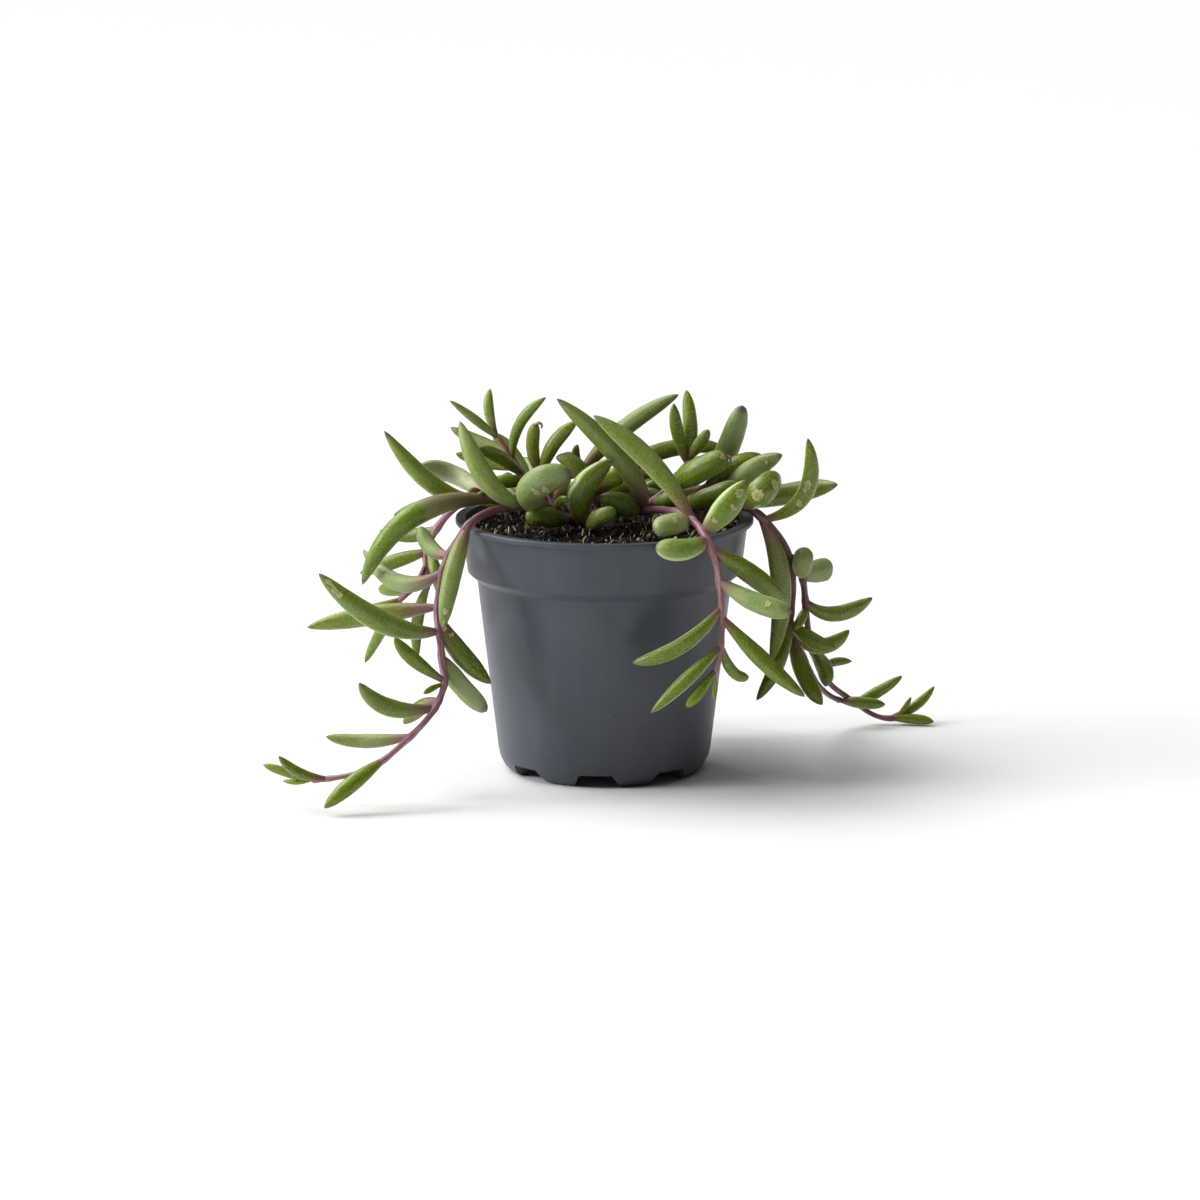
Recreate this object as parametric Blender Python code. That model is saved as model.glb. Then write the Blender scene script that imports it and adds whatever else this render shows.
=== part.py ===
"""A trailing succulent in a plain 9 cm nursery pot: purple stems with fat spindle-shaped leaves.

Metres, +Z up. The origin is on the floor under the pot's axis, and -Y is the front.
The plant's sizes and places are written in millimetres and turned to metres where a mesh is made.
"""

import math

import bmesh
import bpy
import numpy as np
from mathutils import Vector

MM = 0.001
GAP = 0.35                   # air kept between neighbouring pieces, mm

# Pot, mm: one thin moulding of even wall.
POT_HEIGHT = 79.0
POT_WALL = 1.3
LIP_RADIUS = 46.0
LIP_HEIGHT = 1.5
LIP_ROUNDING = 0.5
LIP_UNDERCUT = 0.4           # height of the slope between the lip and the collar
COLLAR_TOP_RADIUS = 44.2
COLLAR_BOTTOM_RADIUS = 42.3
COLLAR_DROP = 16.5           # from the rim down to the collar's lower edge
CHAMFER_DROP = 18.9          # from the rim down to where the chamfer meets the body
BODY_TOP_RADIUS = 39.4
BODY_BOTTOM_RADIUS = 32.9
BODY_BOTTOM_HEIGHT = 6.8
HEEL = ((0.6, 4.2), (1.6, 2.1))     # rounding below the body: (inwards from it, height)
FOOT_RADIUS = 28.4
FOOT_WALL = 2.2
FOOT_ROUNDING = (1.4, 0.6)          # (outwards from the foot, height)
FLOOR_RECESS = 4.9           # the base plate stands this far above the floor
INNER_CORNER = (0.6, 1.6)    # (inwards, upwards) where the inner wall meets the base plate
FEET = 8
NOTCH_ANGLE = 28.0           # degrees between one foot and the next, at the floor
NOTCH_TOP_ANGLE = 18.0
NOTCH_HEIGHT = 4.2
FOOT_TURN = 17.3             # degrees from the front to the first foot
DRAIN_HOLES = 6
DRAIN_RADIUS = 3.0
DRAIN_RING = 19.0            # radius of the circle that the drain holes lie on
POT_SIDES = 40

# Soil, mm: peat that fills the pot to just under the rim.
SOIL_HEIGHT = 76.0
SOIL_ROUGHNESS = 0.55        # half of the top's rise and fall
SOIL_WAVES = (               # the top's waves: strength, waves across, waves along, start
    (0.5, 0.61, 0.53, 0.9),
    (0.5, 0.61, -0.53, 1.7),
    (0.7, 0.31, 0.97, 0.0),
    (0.5, 1.31, -0.83, 1.57),
)
SOIL_EDGE = 0.8              # the top is that much lower and narrower at the pot's wall
SOIL_BOTTOM_GAP = 2.0        # air between the base plate and the peat
SOIL_WALL_GAP = 0.45
SOIL_RINGS = 5
SOIL_SIDES = 40
BURIED = 9.0                 # length of stem that stands in its hole
STEM_RISE = 2.2              # a stem is upright that far above the soil
HOLE_CLEARANCE = 0.7

# The view that the front stems are described in: millimetres across, up and behind the pot's
# axis, as seen by an eye that looks down by VIEW_TILT from VIEW_DISTANCE away, at the centre.
VIEW_TILT = math.radians(11.5)
VIEW_DISTANCE = 2400.0
VIEW_CENTRE_ACROSS = -1.4
VIEW_CENTRE_UP = 51.7
VIEW_ROUNDS = 5              # rounds in which seen() closes in on a point

LEAF_THICKNESS = 0.8         # of a leaf's width
WIDEST = 0.5                 # where along a leaf it is widest
POINTED_TIP = (2.6, 0.66)    # powers that set how late, and how roundly, a leaf narrows to its tip
BLUNT_TIP = (4.0, 0.52)
FOOT_WIDTH = 0.4             # of a leaf's width, where it leaves the stem
FOOT_CURVE = 1.15            # power that sets how slowly it widens from there
LEAF_SIDES = 6
LEAF_RINGS = (0.0, 0.2, 0.44, 0.68, 0.9)    # where along a leaf its rings lie
SMALL_LEAF_RINGS = (0.0, 0.34, 0.76)
SMALL_LEAF = 13.0            # a leaf shorter than this gets fewer faces, mm
NEAR = 0.02                  # step along a leaf that its direction is read over
HEAD_ON = 0.9                # cosine past which a leaf points at the eye
STEM_SIDES = 6
STEM_PARTS = 8               # parts of each stretch of stem in which a leaf's root is looked for
HOLE_SIDES = 8
SMOOTH_ANGLE = {"leaves": 50, "pot": 35, "soil": 60}    # edges sharper than this show, degrees


def shrink(p):
    """How much smaller than at the view's centre a thing at the point is seen."""
    return VIEW_DISTANCE / (
        VIEW_DISTANCE + p.y * math.cos(VIEW_TILT) - p.z * math.sin(VIEW_TILT)
    )


def seen(across, up, behind):
    """The point, in mm, that is seen from the front at (across, up) and lies that far behind the axis."""
    p = Vector((across, behind, up))
    for _ in range(VIEW_ROUNDS):
        scale = shrink(p)
        p.x = VIEW_CENTRE_ACROSS + (across - VIEW_CENTRE_ACROSS) / scale
        rise = VIEW_CENTRE_UP + (up - VIEW_CENTRE_UP) / scale
        p.z = (rise - behind * math.sin(VIEW_TILT)) / math.cos(VIEW_TILT)
    return p


def plain(across, up, behind):
    """The point, in mm, for a stem at the back, where up is the true height."""
    return Vector((across, behind, up))


class Leaf:
    """One fat leaf: a bowed spindle from its root on the stem through a middle point to its tip."""

    def __init__(self, root, middle, tip, width, blunt, foot):
        self.root, self.middle, self.tip = root, middle, tip
        self.width, self.blunt, self.foot = width, blunt, foot

    def point(self, t):
        """A point on the leaf's middle line, t from 0 at the root to 1 at the tip."""
        return (
            self.root * ((1 - t) * (1 - 2 * t))
            + self.middle * (4 * t * (1 - t))
            + self.tip * (t * (2 * t - 1))
        )

    def half_width(self, t):
        """Half of the leaf's width at t: a narrow foot, the widest place round the middle, the tip."""
        rise = math.sin(min(t / WIDEST, 1.0) * math.pi / 2) ** FOOT_CURVE
        past = max(t - WIDEST, 0.0) / (1 - WIDEST)
        power, roundness = BLUNT_TIP if self.blunt else POINTED_TIP
        share = self.foot + (1 - self.foot) * rise
        return self.width / 2 * share * max(1 - past**power, 0.0) ** roundness

    def length(self):
        return (self.middle - self.root).length + (self.tip - self.middle).length


class Shoot:
    """One leafy stem, with its side branches: what becomes one node."""

    def __init__(self, name, foot, place=seen):
        self.name, self.foot, self.place = name, foot, place
        self.lines, self.leaves = [], []

    def stem(self, radius, tip_radius, route):
        """The main stem: it stands straight in its hole in the soil, then follows the route."""
        x, y = self.foot
        start = [Vector((x, y, SOIL_HEIGHT - BURIED)), Vector((x, y, SOIL_HEIGHT + STEM_RISE))]
        self.add_line(start + [self.place(*p) for p in route], radius, tip_radius)

    def branch(self, at, radius, tip_radius, route):
        """A side stem that leaves what grows already at the place seen at (across, up)."""
        self.add_line([self.on_stem(*at)] + [self.place(*p) for p in route], radius, tip_radius)

    def add_line(self, points, radius, tip_radius):
        last = len(points) - 1
        radii = [radius + (tip_radius - radius) * i / last for i in range(last + 1)]
        self.lines.append((points, radii))

    def on_stem(self, across, up):
        """The point on the stems' middle lines that lies nearest to (across, up)."""
        best, found = 1e9, None
        for points, _ in self.lines:
            for a, b in zip(points, points[1:]):
                for step in range(STEM_PARTS + 1):
                    p = a.lerp(b, step / STEM_PARTS)
                    flat = self.flat(p)
                    distance = math.hypot(flat[0] - across, flat[1] - up)
                    if distance < best:
                        best, found = distance, p
        return found

    def flat(self, p):
        """Where a point is seen: across and up, as this shoot's places are written."""
        if self.place is plain:
            return p.x, p.z
        rise = p.z * math.cos(VIEW_TILT) + p.y * math.sin(VIEW_TILT)
        return (
            VIEW_CENTRE_ACROSS + (p.x - VIEW_CENTRE_ACROSS) * shrink(p),
            VIEW_CENTRE_UP + (rise - VIEW_CENTRE_UP) * shrink(p),
        )

    def leaf(self, root, middle, tip, width, blunt=False, foot=FOOT_WIDTH):
        """root is (across, up) on the stem, or a place; middle and tip are (across, up, further
        behind than the root)."""
        start = self.place(*root) if len(root) == 3 else self.on_stem(*root)
        self.leaves.append(
            Leaf(
                start,
                self.place(middle[0], middle[1], start.y + middle[2]),
                self.place(tip[0], tip[1], start.y + tip[2]),
                width,
                blunt,
                foot,
            )
        )


def front_left_shoot():
    """The long stem that bows over the rim at the front left and trails to the floor."""
    s = Shoot("stem_front_left", (-9.5, -8.0))
    s.stem(1.45, 0.75, [
        (-12.5, 77.2, -10), (-16.5, 80.2, -12), (-21.5, 81.6, -14), (-27, 80.8, -16),
        (-32.5, 79.9, -18.5), (-37, 78.6, -21), (-41.2, 75.9, -23.5), (-44.6, 71.6, -25.5),
        (-47.6, 67, -26.8), (-49.9, 61.5, -27.8), (-51.2, 55.5, -28.6), (-51.8, 49.5, -29.6),
        (-51.6, 43.5, -30.8), (-50.9, 37.5, -32.8), (-50.4, 31, -36), (-49.7, 26.5, -39.4),
        (-51.2, 21, -44), (-54.5, 15.5, -49), (-59.5, 10, -53.8), (-65, 5, -57.6),
        (-70, 1.0, -60), (-76, -1.8, -60.4), (-83, -3.4, -59.2), (-91, -4.3, -57),
    ])
    s.leaf((-11, 76.4), (-18.2, 77.4, -5), (-24.4, 77.6, -9), 6.6, blunt=True)
    s.leaf((-15, 79), (-13.9, 85, -4), (-10.4, 89.8, -6), 3.2)
    s.leaf((-16, 80), (-13.3, 82.6, -5), (-10.9, 82.2, -8), 2.8)
    s.leaf((-20.3, 79.8, -15.0), (-21.9, 87.0, -8), (-10.2, 91.2, -11), 9.8, blunt=True, foot=0.66)
    s.leaf((-25, 81.2), (-36.2, 88.6, -2), (-44.9, 107.2, 6), 6.4)
    s.leaf((-42.4, 74.6), (-47.0, 60.5, -8), (-50.3, 42.6, -12), 5.9)
    s.leaf((-48.2, 65.8), (-53.6, 67.6, 6), (-57.3, 74.5, 10), 4.9, blunt=True)
    s.leaf((-50.2, 60.5), (-63.5, 57.0, 11), (-74.9, 67.3, 28), 5.6)
    s.leaf((-51.8, 49.3), (-71, 47.1, 6), (-92.3, 43.2, 8), 6.2)
    s.leaf((-51.4, 41.8), (-69.5, 45.1, -7), (-88.7, 59.9, -9), 6.8)
    s.leaf((-51.6, 46.5), (-45.6, 36.2, -2), (-35.3, 25.7, -4), 6.4)
    s.leaf((-50.7, 34.5), (-45.6, 26.2, -4), (-36.6, 17.2, -6), 6.2, blunt=True)
    s.leaf((-49.8, 26.2), (-59.5, 33.4, -4), (-65.2, 40.0, -6), 4.4)
    s.leaf((-50, 25.5), (-53.5, 24.2, -4), (-56.2, 22.6, -6), 1.9)
    s.leaf((-51.8, 20), (-56.8, 18.4, 6), (-62.4, 13.2, 9), 4.8)
    s.leaf((-53, 18), (-67.2, 18.4, -6), (-76.2, 26.0, -9), 5.6)
    s.leaf((-60, 9.6), (-74, 7.9, 6), (-86.5, 9.3, 8), 4.5)
    s.leaf((-69, 1.8), (-78.2, -5.2, -5), (-87.0, -12.9, -9), 5.0)
    s.leaf((-86, -3.8), (-94.6, -2.0, -2), (-101.2, 3.2, -3), 3.4)
    s.leaf((-90, -4.2), (-98.6, -1.9, 1), (-106.0, 0.6, 3), 3.0)
    s.leaf((-90.6, -4.3), (-95.5, -4.8, 1), (-100.0, -4.4, 3), 1.8)
    return s


def left_shoot():
    """The stem that leaves the pot at the left, behind the long bowed leaf."""
    s = Shoot("stem_left", (-22.0, 4.0))
    s.stem(1.35, 0.9, [
        (-24.5, 80.4, 4), (-29, 82.2, 4), (-34, 83.0, 3.5), (-39, 83.6, 3), (-43.8, 82.2, 3),
        (-48.0, 78.9, 3.5), (-51.4, 74.8, 4.5), (-54.2, 70, 5.5), (-55.5, 65.5, 6),
        (-55.2, 61, 6), (-54.4, 56, 5.5),
    ])
    s.branch((-55.3, 62.5), 0.9, 0.7, [(-57.6, 58, 5), (-60.2, 54.6, 4), (-64.5, 51, 3)])
    s.leaf((-33, 82.8), (-59.4, 77.6, -11), (-75.2, 56.5, -15), 6.9)
    s.leaf((-39, 83.6), (-53.0, 87.3, -3), (-68.4, 104.2, -4), 5.6)
    s.leaf((-36.5, 83.3), (-46.2, 90.4, 7), (-57.4, 93.0, 9), 6.2, blunt=True)
    s.leaf((-37.5, 83.4), (-39.6, 85.6, -1), (-42.3, 85.4, -3), 1.9, blunt=True)
    s.leaf((-34.6, 83.0), (-37.6, 84.6, -4), (-40.6, 82.6, -5), 2.2, blunt=True)
    s.leaf((-43.8, 82), (-55.0, 80.8, 7), (-65.4, 77.9, 9), 4.6)
    s.leaf((-51.8, 74), (-60.0, 71.7, 5), (-69.8, 73.4, 8), 4.6)
    s.leaf((-55.3, 66.5), (-64.5, 63.9, 2), (-75.9, 60.0, 4), 4.7)
    s.leaf((-54.9, 68), (-52.4, 60.5, -5), (-51.0, 53.0, -8), 3.8)
    s.leaf((-60, 54.9), (-64.5, 54.9, 6), (-70.0, 55.2, 12), 4.2, blunt=True)
    s.leaf((-63.5, 51.8), (-71.0, 49.0, -1), (-79.5, 47.6, 1), 3.6)
    s.leaf((-63, 52.2), (-68.9, 42.9, 7), (-74.4, 32.2, 10), 3.6)
    s.leaf((-54.5, 56.8), (-58.0, 46.0, 3), (-58.2, 33.2, 4), 3.9)
    return s


def left_upright_shoot():
    """The slender upright shoot at the left, with its fan of narrow leaves."""
    s = Shoot("shoot_left", (-16.5, 12.0))
    s.stem(1.2, 0.8, [
        (-17.6, 81.5, 12), (-20.8, 85.2, 10.5), (-24.6, 89.4, 9), (-28.2, 94.6, 8),
        (-31.4, 99.6, 7), (-33.6, 103.0, 6.5),
    ])
    s.leaf((-33.5, 102.8), (-35.9, 110.4, 2), (-35.5, 117.3, 4), 3.3)
    s.leaf((-32.8, 101.8), (-39.6, 107.3, -3), (-48.0, 113.6, -5), 3.0)
    s.leaf((-28.4, 95), (-26.4, 106.2, -4), (-18.2, 114.6, -6), 3.6)
    s.leaf((-25.6, 90.8), (-32.7, 96.0, -9), (-39.2, 98.6, -22), 4.8)
    s.leaf((-23.6, 88.4), (-29.5, 88.6, -1), (-35.6, 88.2, -1), 4.4)
    s.leaf((-22.6, 87.4), (-28.2, 95.6, 8), (-34.6, 103.6, 10), 5.8)
    s.leaf((-30, 97.5), (-38.4, 100.6, 2), (-47.9, 105.4, 3), 4.4)
    s.leaf((-27, 92.6), (-37.0, 94.6, 5), (-46.2, 97.2, 6), 4.2)
    return s


def left_middle_shoot():
    """A short shoot behind the fat leaf at the left, with one leaf that has lost its tip."""
    s = Shoot("shoot_left_middle", (-13.5, 3.5))
    s.stem(1.2, 0.95, [(-16.2, 83, 2), (-18.8, 87.6, 1), (-20.3, 91.6, 0)])
    s.leaf((-20.1, 91), (-22.3, 98.6, 0), (-21.2, 106.6, -2), 4.3, blunt=True)
    s.leaf((-19.6, 89.8), (-16.2, 99.4, -2), (-8.4, 107.2, -3), 4.5)
    s.leaf((-15.6, 82), (-9.0, 86.5, 2), (-2.2, 88.2, 4), 4.6)
    return s


def front_middle_shoot():
    """The low cluster at the front, that the banana-shaped leaf stands up from."""
    s = Shoot("shoot_front", (-5.0, -13.5))
    s.stem(1.25, 0.9, [(-5.2, 75.8, -13), (-5.0, 80.0, -9), (-4.6, 84.0, -5)])
    s.leaf((-5.2, 73.8), (-7.3, 84.8, -3), (2.8, 95.3, -2), 8.2)
    s.leaf((-5.1, 73.4), (-1.9, 76.9, -9), (3.6, 79.2, -11), 5.4, blunt=True)
    s.leaf((-4.7, 83), (-8.4, 92.6, 3), (-15.1, 95.9, 4), 5.7)
    s.leaf((-4.6, 84), (0.2, 88.6, -3), (6.6, 90.2, -3), 6.3, blunt=True)
    return s


def front_right_shoot():
    """The stem that bows over the rim at the front right and hangs in front of the pot."""
    s = Shoot("stem_front_right", (6.0, 3.0))
    s.stem(1.35, 0.7, [
        (7.6, 79.6, -1), (11.4, 79.4, -7), (16, 79.8, -14), (21, 79.3, -22), (25.2, 77.8, -29),
        (28.4, 75.4, -33.6), (30.4, 73.0, -37.2), (32.4, 69.6, -40), (33.8, 65.6, -41.2),
        (35.2, 60, -42), (36, 54, -42.6), (36.4, 48, -43.2), (36.5, 42, -43.8),
        (36.1, 36.5, -44.4), (35, 31.5, -45), (33.6, 27.6, -45.4),
    ])
    s.leaf((11.6, 79.4), (5.5, 81.2, -5), (-1.4, 83.9, -8), 7.0)
    s.leaf((12.6, 79.6), (5.2, 94.9, -1), (-14.8, 114.2, -5), 6.6)
    s.leaf((27.4, 76.4), (14.8, 93.9, 9), (-3.4, 109.0, 15), 6.6)
    s.leaf((22, 78.9), (19.6, 78.0, -3), (17.2, 77.6, -5), 1.6)
    s.leaf((26.6, 76.9), (21.2, 73.4, -4), (15.0, 72.6, -6), 7.2, blunt=True)
    s.leaf((31.8, 71), (24.6, 67.4, -6), (16.0, 68.6, -7), 7.0, blunt=True)
    s.leaf((30.6, 72.6), (37.2, 79.6, 1), (44.3, 88.9, 4), 8.0)
    s.leaf((33.2, 67.8), (44.6, 60.3, 3), (57.2, 50.4, 8), 6.2)
    s.leaf((35.6, 58), (47.0, 51.0, -6), (58.0, 48.0, -9), 6.2, blunt=True)
    s.leaf((36.5, 46.5), (48.9, 33.2, -3), (62.2, 21.7, -5), 5.2)
    s.leaf((36.3, 49.5), (24.0, 37.6, -4), (8.7, 32.2, -1), 5.0)
    s.leaf((36.1, 37), (26.2, 27.6, -5), (14.4, 16.6, -6), 4.2)
    s.leaf((34.4, 29.8), (29.4, 23.2, -4), (25.5, 18.4, -6), 3.7)
    s.leaf((33.9, 28.4), (34.3, 24.6, 2), (33.6, 21.0, 3), 1.8)
    s.leaf((36.2, 38), (39.6, 29.8, 3), (44.8, 27.8, 4), 3.6, blunt=True)
    return s


def right_upright_shoot():
    """The upright shoot right of the middle: three narrow leaves and a thick one with a torn tip."""
    s = Shoot("shoot_right", (11.5, 10.0))
    s.stem(1.2, 0.9, [
        (13.8, 81.2, 9), (18.2, 85.0, 8), (22.4, 89.0, 7), (25.2, 93.0, 6), (26.4, 96.0, 6),
    ])
    s.leaf((25.6, 94), (22.7, 103.4, -2), (21.5, 112.8, -3), 4.0)
    s.leaf((26.4, 96), (26.6, 106.0, 1), (25.4, 116.9, 3), 4.8)
    s.leaf((26.2, 95.4), (29.7, 100.4, -3), (32.4, 104.6, -4), 4.0)
    s.leaf((21, 87.6), (29.4, 92.0, -6), (38.2, 96.3, -9), 8.0, blunt=True, foot=0.55)
    s.leaf((15, 82.4), (20.4, 83.2, -2), (26.4, 84.8, -2), 4.8)
    return s


def back_upright_shoot():
    """The shoot at the back whose leaves show over the middle of the plant."""
    s = Shoot("shoot_back", (-2.0, 19.0))
    s.stem(1.25, 0.95, [(-3.4, 83.4, 18), (-5.4, 88.2, 16), (-7.4, 92.6, 14)])
    s.leaf((-7.0, 91.6), (5.6, 104.6, 0), (23.0, 115.5, -2), 5.8)
    s.leaf((-4.2, 85.4), (16.0, 97.4, 12), (36.8, 98.8, 14), 5.4, blunt=True)
    s.leaf((-3.2, 83.2), (3.8, 85.6, 3), (10.4, 89.2, 4), 5.0)
    s.leaf((-4.4, 86), (6.4, 89.8, 8), (17.6, 91.6, 9), 4.6)
    s.leaf((-7.3, 92.4), (-8.9, 96.2, -3), (-8.3, 100.0, -5), 2.8)
    s.leaf((-6.2, 90.4), (-15.5, 91.4, 9), (-24.5, 90.0, 15), 5.2)
    return s


def right_middle_shoot():
    """The crowded shoot at the right, with a tall club-shaped leaf."""
    s = Shoot("shoot_right_middle", (22.5, -2.0))
    s.stem(1.35, 1.0, [(24.4, 79.6, -1.5), (27.6, 84.0, 0.5), (31.0, 86.4, 2), (34.2, 88.4, 3)])
    s.leaf((33, 87.8), (38.2, 98.4, 2), (42.8, 112.0, 4), 7.6, blunt=True)
    s.leaf((32, 87), (39.4, 92.8, 0), (48.8, 96.8, 2), 6.0)
    s.leaf((25.4, 81.4), (32.6, 83.4, -4), (41.4, 88.2, -5), 6.6)
    return s


def right_shoot():
    """The stem that leaves the pot at the right, forks and trails down to the floor behind."""
    s = Shoot("stem_right", (31.0, 4.0))
    s.stem(1.35, 0.85, [
        (33.6, 80.8, 2), (37.6, 81.8, 0), (41.8, 81.2, -1.6), (45.4, 79.9, -2.4),
        (48.6, 77.5, -1.6), (51.8, 74.2, -0.2), (54.8, 70.4, 1.6), (57, 66.2, 3.6), (58.2, 61, 6),
        (58.5, 55.5, 8.4), (58.1, 49.5, 11), (57.4, 43.5, 14.4), (58.6, 39.4, 18.4),
        (61.2, 35.6, 24), (63.2, 31, 32), (66, 25.8, 42.6), (69.4, 22.4, 51.6), (73.2, 20.5, 58),
    ])
    s.branch((57.2, 65.8), 1.1, 0.75, [
        (60.2, 63.2, 7), (61.6, 58, 10), (62.3, 52, 13.6), (62.8, 46, 18.6), (63.6, 40, 25.6),
        (65, 34.4, 34.4), (67.6, 29, 44.4), (71, 24.8, 52.6), (75, 21.8, 58), (78.4, 19.4, 60.5),
        (82.4, 16.6, 61.5), (86.4, 15.1, 61), (90.5, 14.9, 60),
    ])
    s.leaf((36.5, 81.6), (44.2, 90.6, -6), (55.2, 96.8, -8), 6.9)
    s.leaf((42.6, 80.9), (48.2, 84.9, -6), (53.4, 90.4, -8), 8.0, blunt=True)
    s.leaf((40, 81.5), (56.0, 84.6, 3), (72.4, 87.6, 5), 6.8)
    s.leaf((49.4, 76.6), (62.3, 84.8, -6), (63.1, 101.9, -9), 5.3)
    s.leaf((48.2, 77.9), (54.8, 57.0, 2), (51.6, 32.4, 4), 6.4)
    s.leaf((57.3, 44.8), (64.0, 39.6, -5), (71.6, 36.9, -8), 4.8)
    s.leaf((57.6, 42.2), (67.0, 37.4, 3), (76.0, 42.4, 6), 5.4)
    s.leaf((57.7, 47), (54.4, 33.4, -4), (47.2, 20.6, -6), 4.8)
    s.leaf((58.3, 40.2), (61.9, 28.6, -8), (67.7, 19.2, -12), 5.6)
    s.leaf((61.3, 59), (61.4, 62.6, -5), (62.3, 68.0, -8), 6.4, blunt=True)
    s.leaf((61.5, 58.4), (66.0, 60.7, 4), (70.6, 61.2, 7), 7.4, blunt=True)
    s.leaf((62.4, 51), (71.6, 47.4, 2), (83.2, 52.5, 4), 5.2)
    s.leaf((62.5, 49.4), (61.0, 45.6, -4), (59.0, 42.8, -7), 3.2)
    s.leaf((64.6, 36), (68.3, 30.6, -4), (68.6, 24.8, -7), 5.2)
    s.leaf((66.8, 30.6), (71.4, 32.4, 3), (76.8, 32.6, 5), 2.7)
    s.leaf((73, 20.6), (80.0, 19.8, -1), (87.2, 19.2, 0), 3.9)
    s.leaf((77.6, 20.2), (84.6, 23.0, 2), (92.4, 28.1, 3), 3.7)
    s.leaf((88.4, 15), (95.8, 13.9, -1), (102.2, 13.4, -2), 3.3)
    s.leaf((88.6, 15), (96.2, 18.6, 3), (102.4, 24.9, 5), 3.1)
    s.leaf((90.4, 15), (93.2, 18.2, 1), (95.2, 21.6, 2), 1.7)
    return s


def back_trailing_shoots():
    """Three stems that bow over the rim at the back and hang down behind the pot."""
    left = Shoot("stem_back_left", (-17.0, 22.0), plain)
    left.stem(1.3, 0.8, [
        (-17.4, 83, 27), (-18.2, 84.6, 34), (-19.4, 83.2, 40.6), (-20.6, 79.4, 45.4),
        (-21.6, 73.2, 48.6), (-22.4, 66, 50.2), (-23, 58, 51), (-23.4, 50, 51.8),
        (-23.6, 42, 53), (-23.2, 34.6, 55), (-22.4, 28, 58),
    ])
    left.leaf((-17.6, 83.8), (-22.6, 87.4, 6), (-27.0, 88.6, 11), 5.2)
    left.leaf((-20.8, 78.6), (-31.0, 78.6, 6), (-40.0, 70.5, 10), 5.6)
    left.leaf((-21.5, 74), (-16.0, 68.0, 11), (-13.5, 58.5, 15), 5.4)
    left.leaf((-22.2, 68), (-29.5, 60.0, 3), (-31.5, 49.0, 3), 5.0)
    left.leaf((-23, 59), (-15.5, 52.0, 3), (-10.5, 43.0, 4), 4.8)
    left.leaf((-23.2, 54.4), (-26.5, 48.5, 10), (-28.5, 39.5, 13.6), 4.8)
    left.leaf((-23.6, 44), (-29.5, 36.5, 1), (-30.5, 27.5, 1), 4.4)
    left.leaf((-23.4, 38), (-17.5, 32.0, 3), (-15.0, 23.0, 4), 4.4)
    left.leaf((-22.8, 31), (-25.5, 24.5, 5), (-27.0, 16.0, 7), 4.0)
    left.leaf((-22.4, 28.2), (-20.5, 22.5, 4), (-20.0, 15.5, 6), 3.0)

    middle = Shoot("stem_back", (-6.0, 30.0), plain)
    middle.stem(1.3, 0.8, [
        (-6.2, 83.4, 34), (-6.0, 83.8, 40), (-5.4, 80.8, 45.6), (-4.6, 74.4, 49.4),
        (-4, 66.8, 50.8), (-3.6, 59, 51.4), (-3.4, 51, 51.8), (-3.2, 43.6, 52.6),
    ])
    middle.leaf((-6.1, 83.6), (-10.5, 88.0, 8), (-13.0, 87.0, 17), 5.4)
    middle.leaf((-5, 77.4), (4.5, 77.0, 6), (13.0, 69.0, 9), 5.6)
    middle.leaf((-4.4, 72), (-8.5, 64.5, 11), (-9.0, 54.0, 14), 5.2)
    middle.leaf((-4, 66), (3.5, 58.5, 3), (6.5, 47.5, 3), 4.8)
    middle.leaf((-3.7, 60), (-9.0, 49.5, 1), (-6.0, 35.5, 1), 4.4)
    middle.leaf((-3.4, 52), (0.5, 45.5, 9), (2.0, 36.5, 12), 4.6)
    middle.leaf((-3.2, 45), (3.5, 38.0, 2), (5.5, 28.5, 2), 4.0)
    middle.leaf((-3.2, 43.8), (-4.5, 37.0, 4), (-4.0, 29.5, 5), 3.2)

    right = Shoot("stem_back_right", (21.0, 22.0), plain)
    right.stem(1.3, 0.8, [
        (21.6, 83.6, 28), (22.2, 85, 34.5), (23, 83.2, 39.6), (24, 78.8, 44),
        (25, 72, 46.8), (25.6, 64.4, 48), (26, 56.4, 48.8), (26, 48.6, 49.8),
        (25.6, 41, 51.6), (24.8, 34, 54.6), (24, 28, 58.6), (23, 22.6, 63),
    ])
    right.leaf((21.8, 84.4), (29.0, 88.5, 5), (37.0, 87.5, 9), 5.6)
    right.leaf((24.2, 77.8), (34.0, 76.0, 4), (41.0, 66.5, 6), 5.6)
    right.leaf((25, 72), (20.0, 67.5, 10), (17.0, 58.5, 14), 5.2)
    right.leaf((25.7, 64), (32.0, 56.5, 3), (33.5, 45.5, 3), 5.0)
    right.leaf((26, 57), (19.0, 50.5, 2), (15.0, 40.5, 2), 4.8)
    right.leaf((26, 51), (29.0, 44.5, 9), (30.5, 35.0, 13), 4.8)
    right.leaf((25.8, 44), (18.5, 37.5, 1), (14.5, 28.5, 2), 4.4)
    right.leaf((25, 36), (30.0, 29.0, 3), (31.5, 19.5, 4), 4.2)
    right.leaf((23.6, 25), (17.0, 20.5, 2), (11.0, 14.5, 4), 4.0)
    right.leaf((23, 22.8), (24.5, 17.5, 3), (25.0, 11.0, 5.6), 3.4)
    return [left, middle, right]


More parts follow.
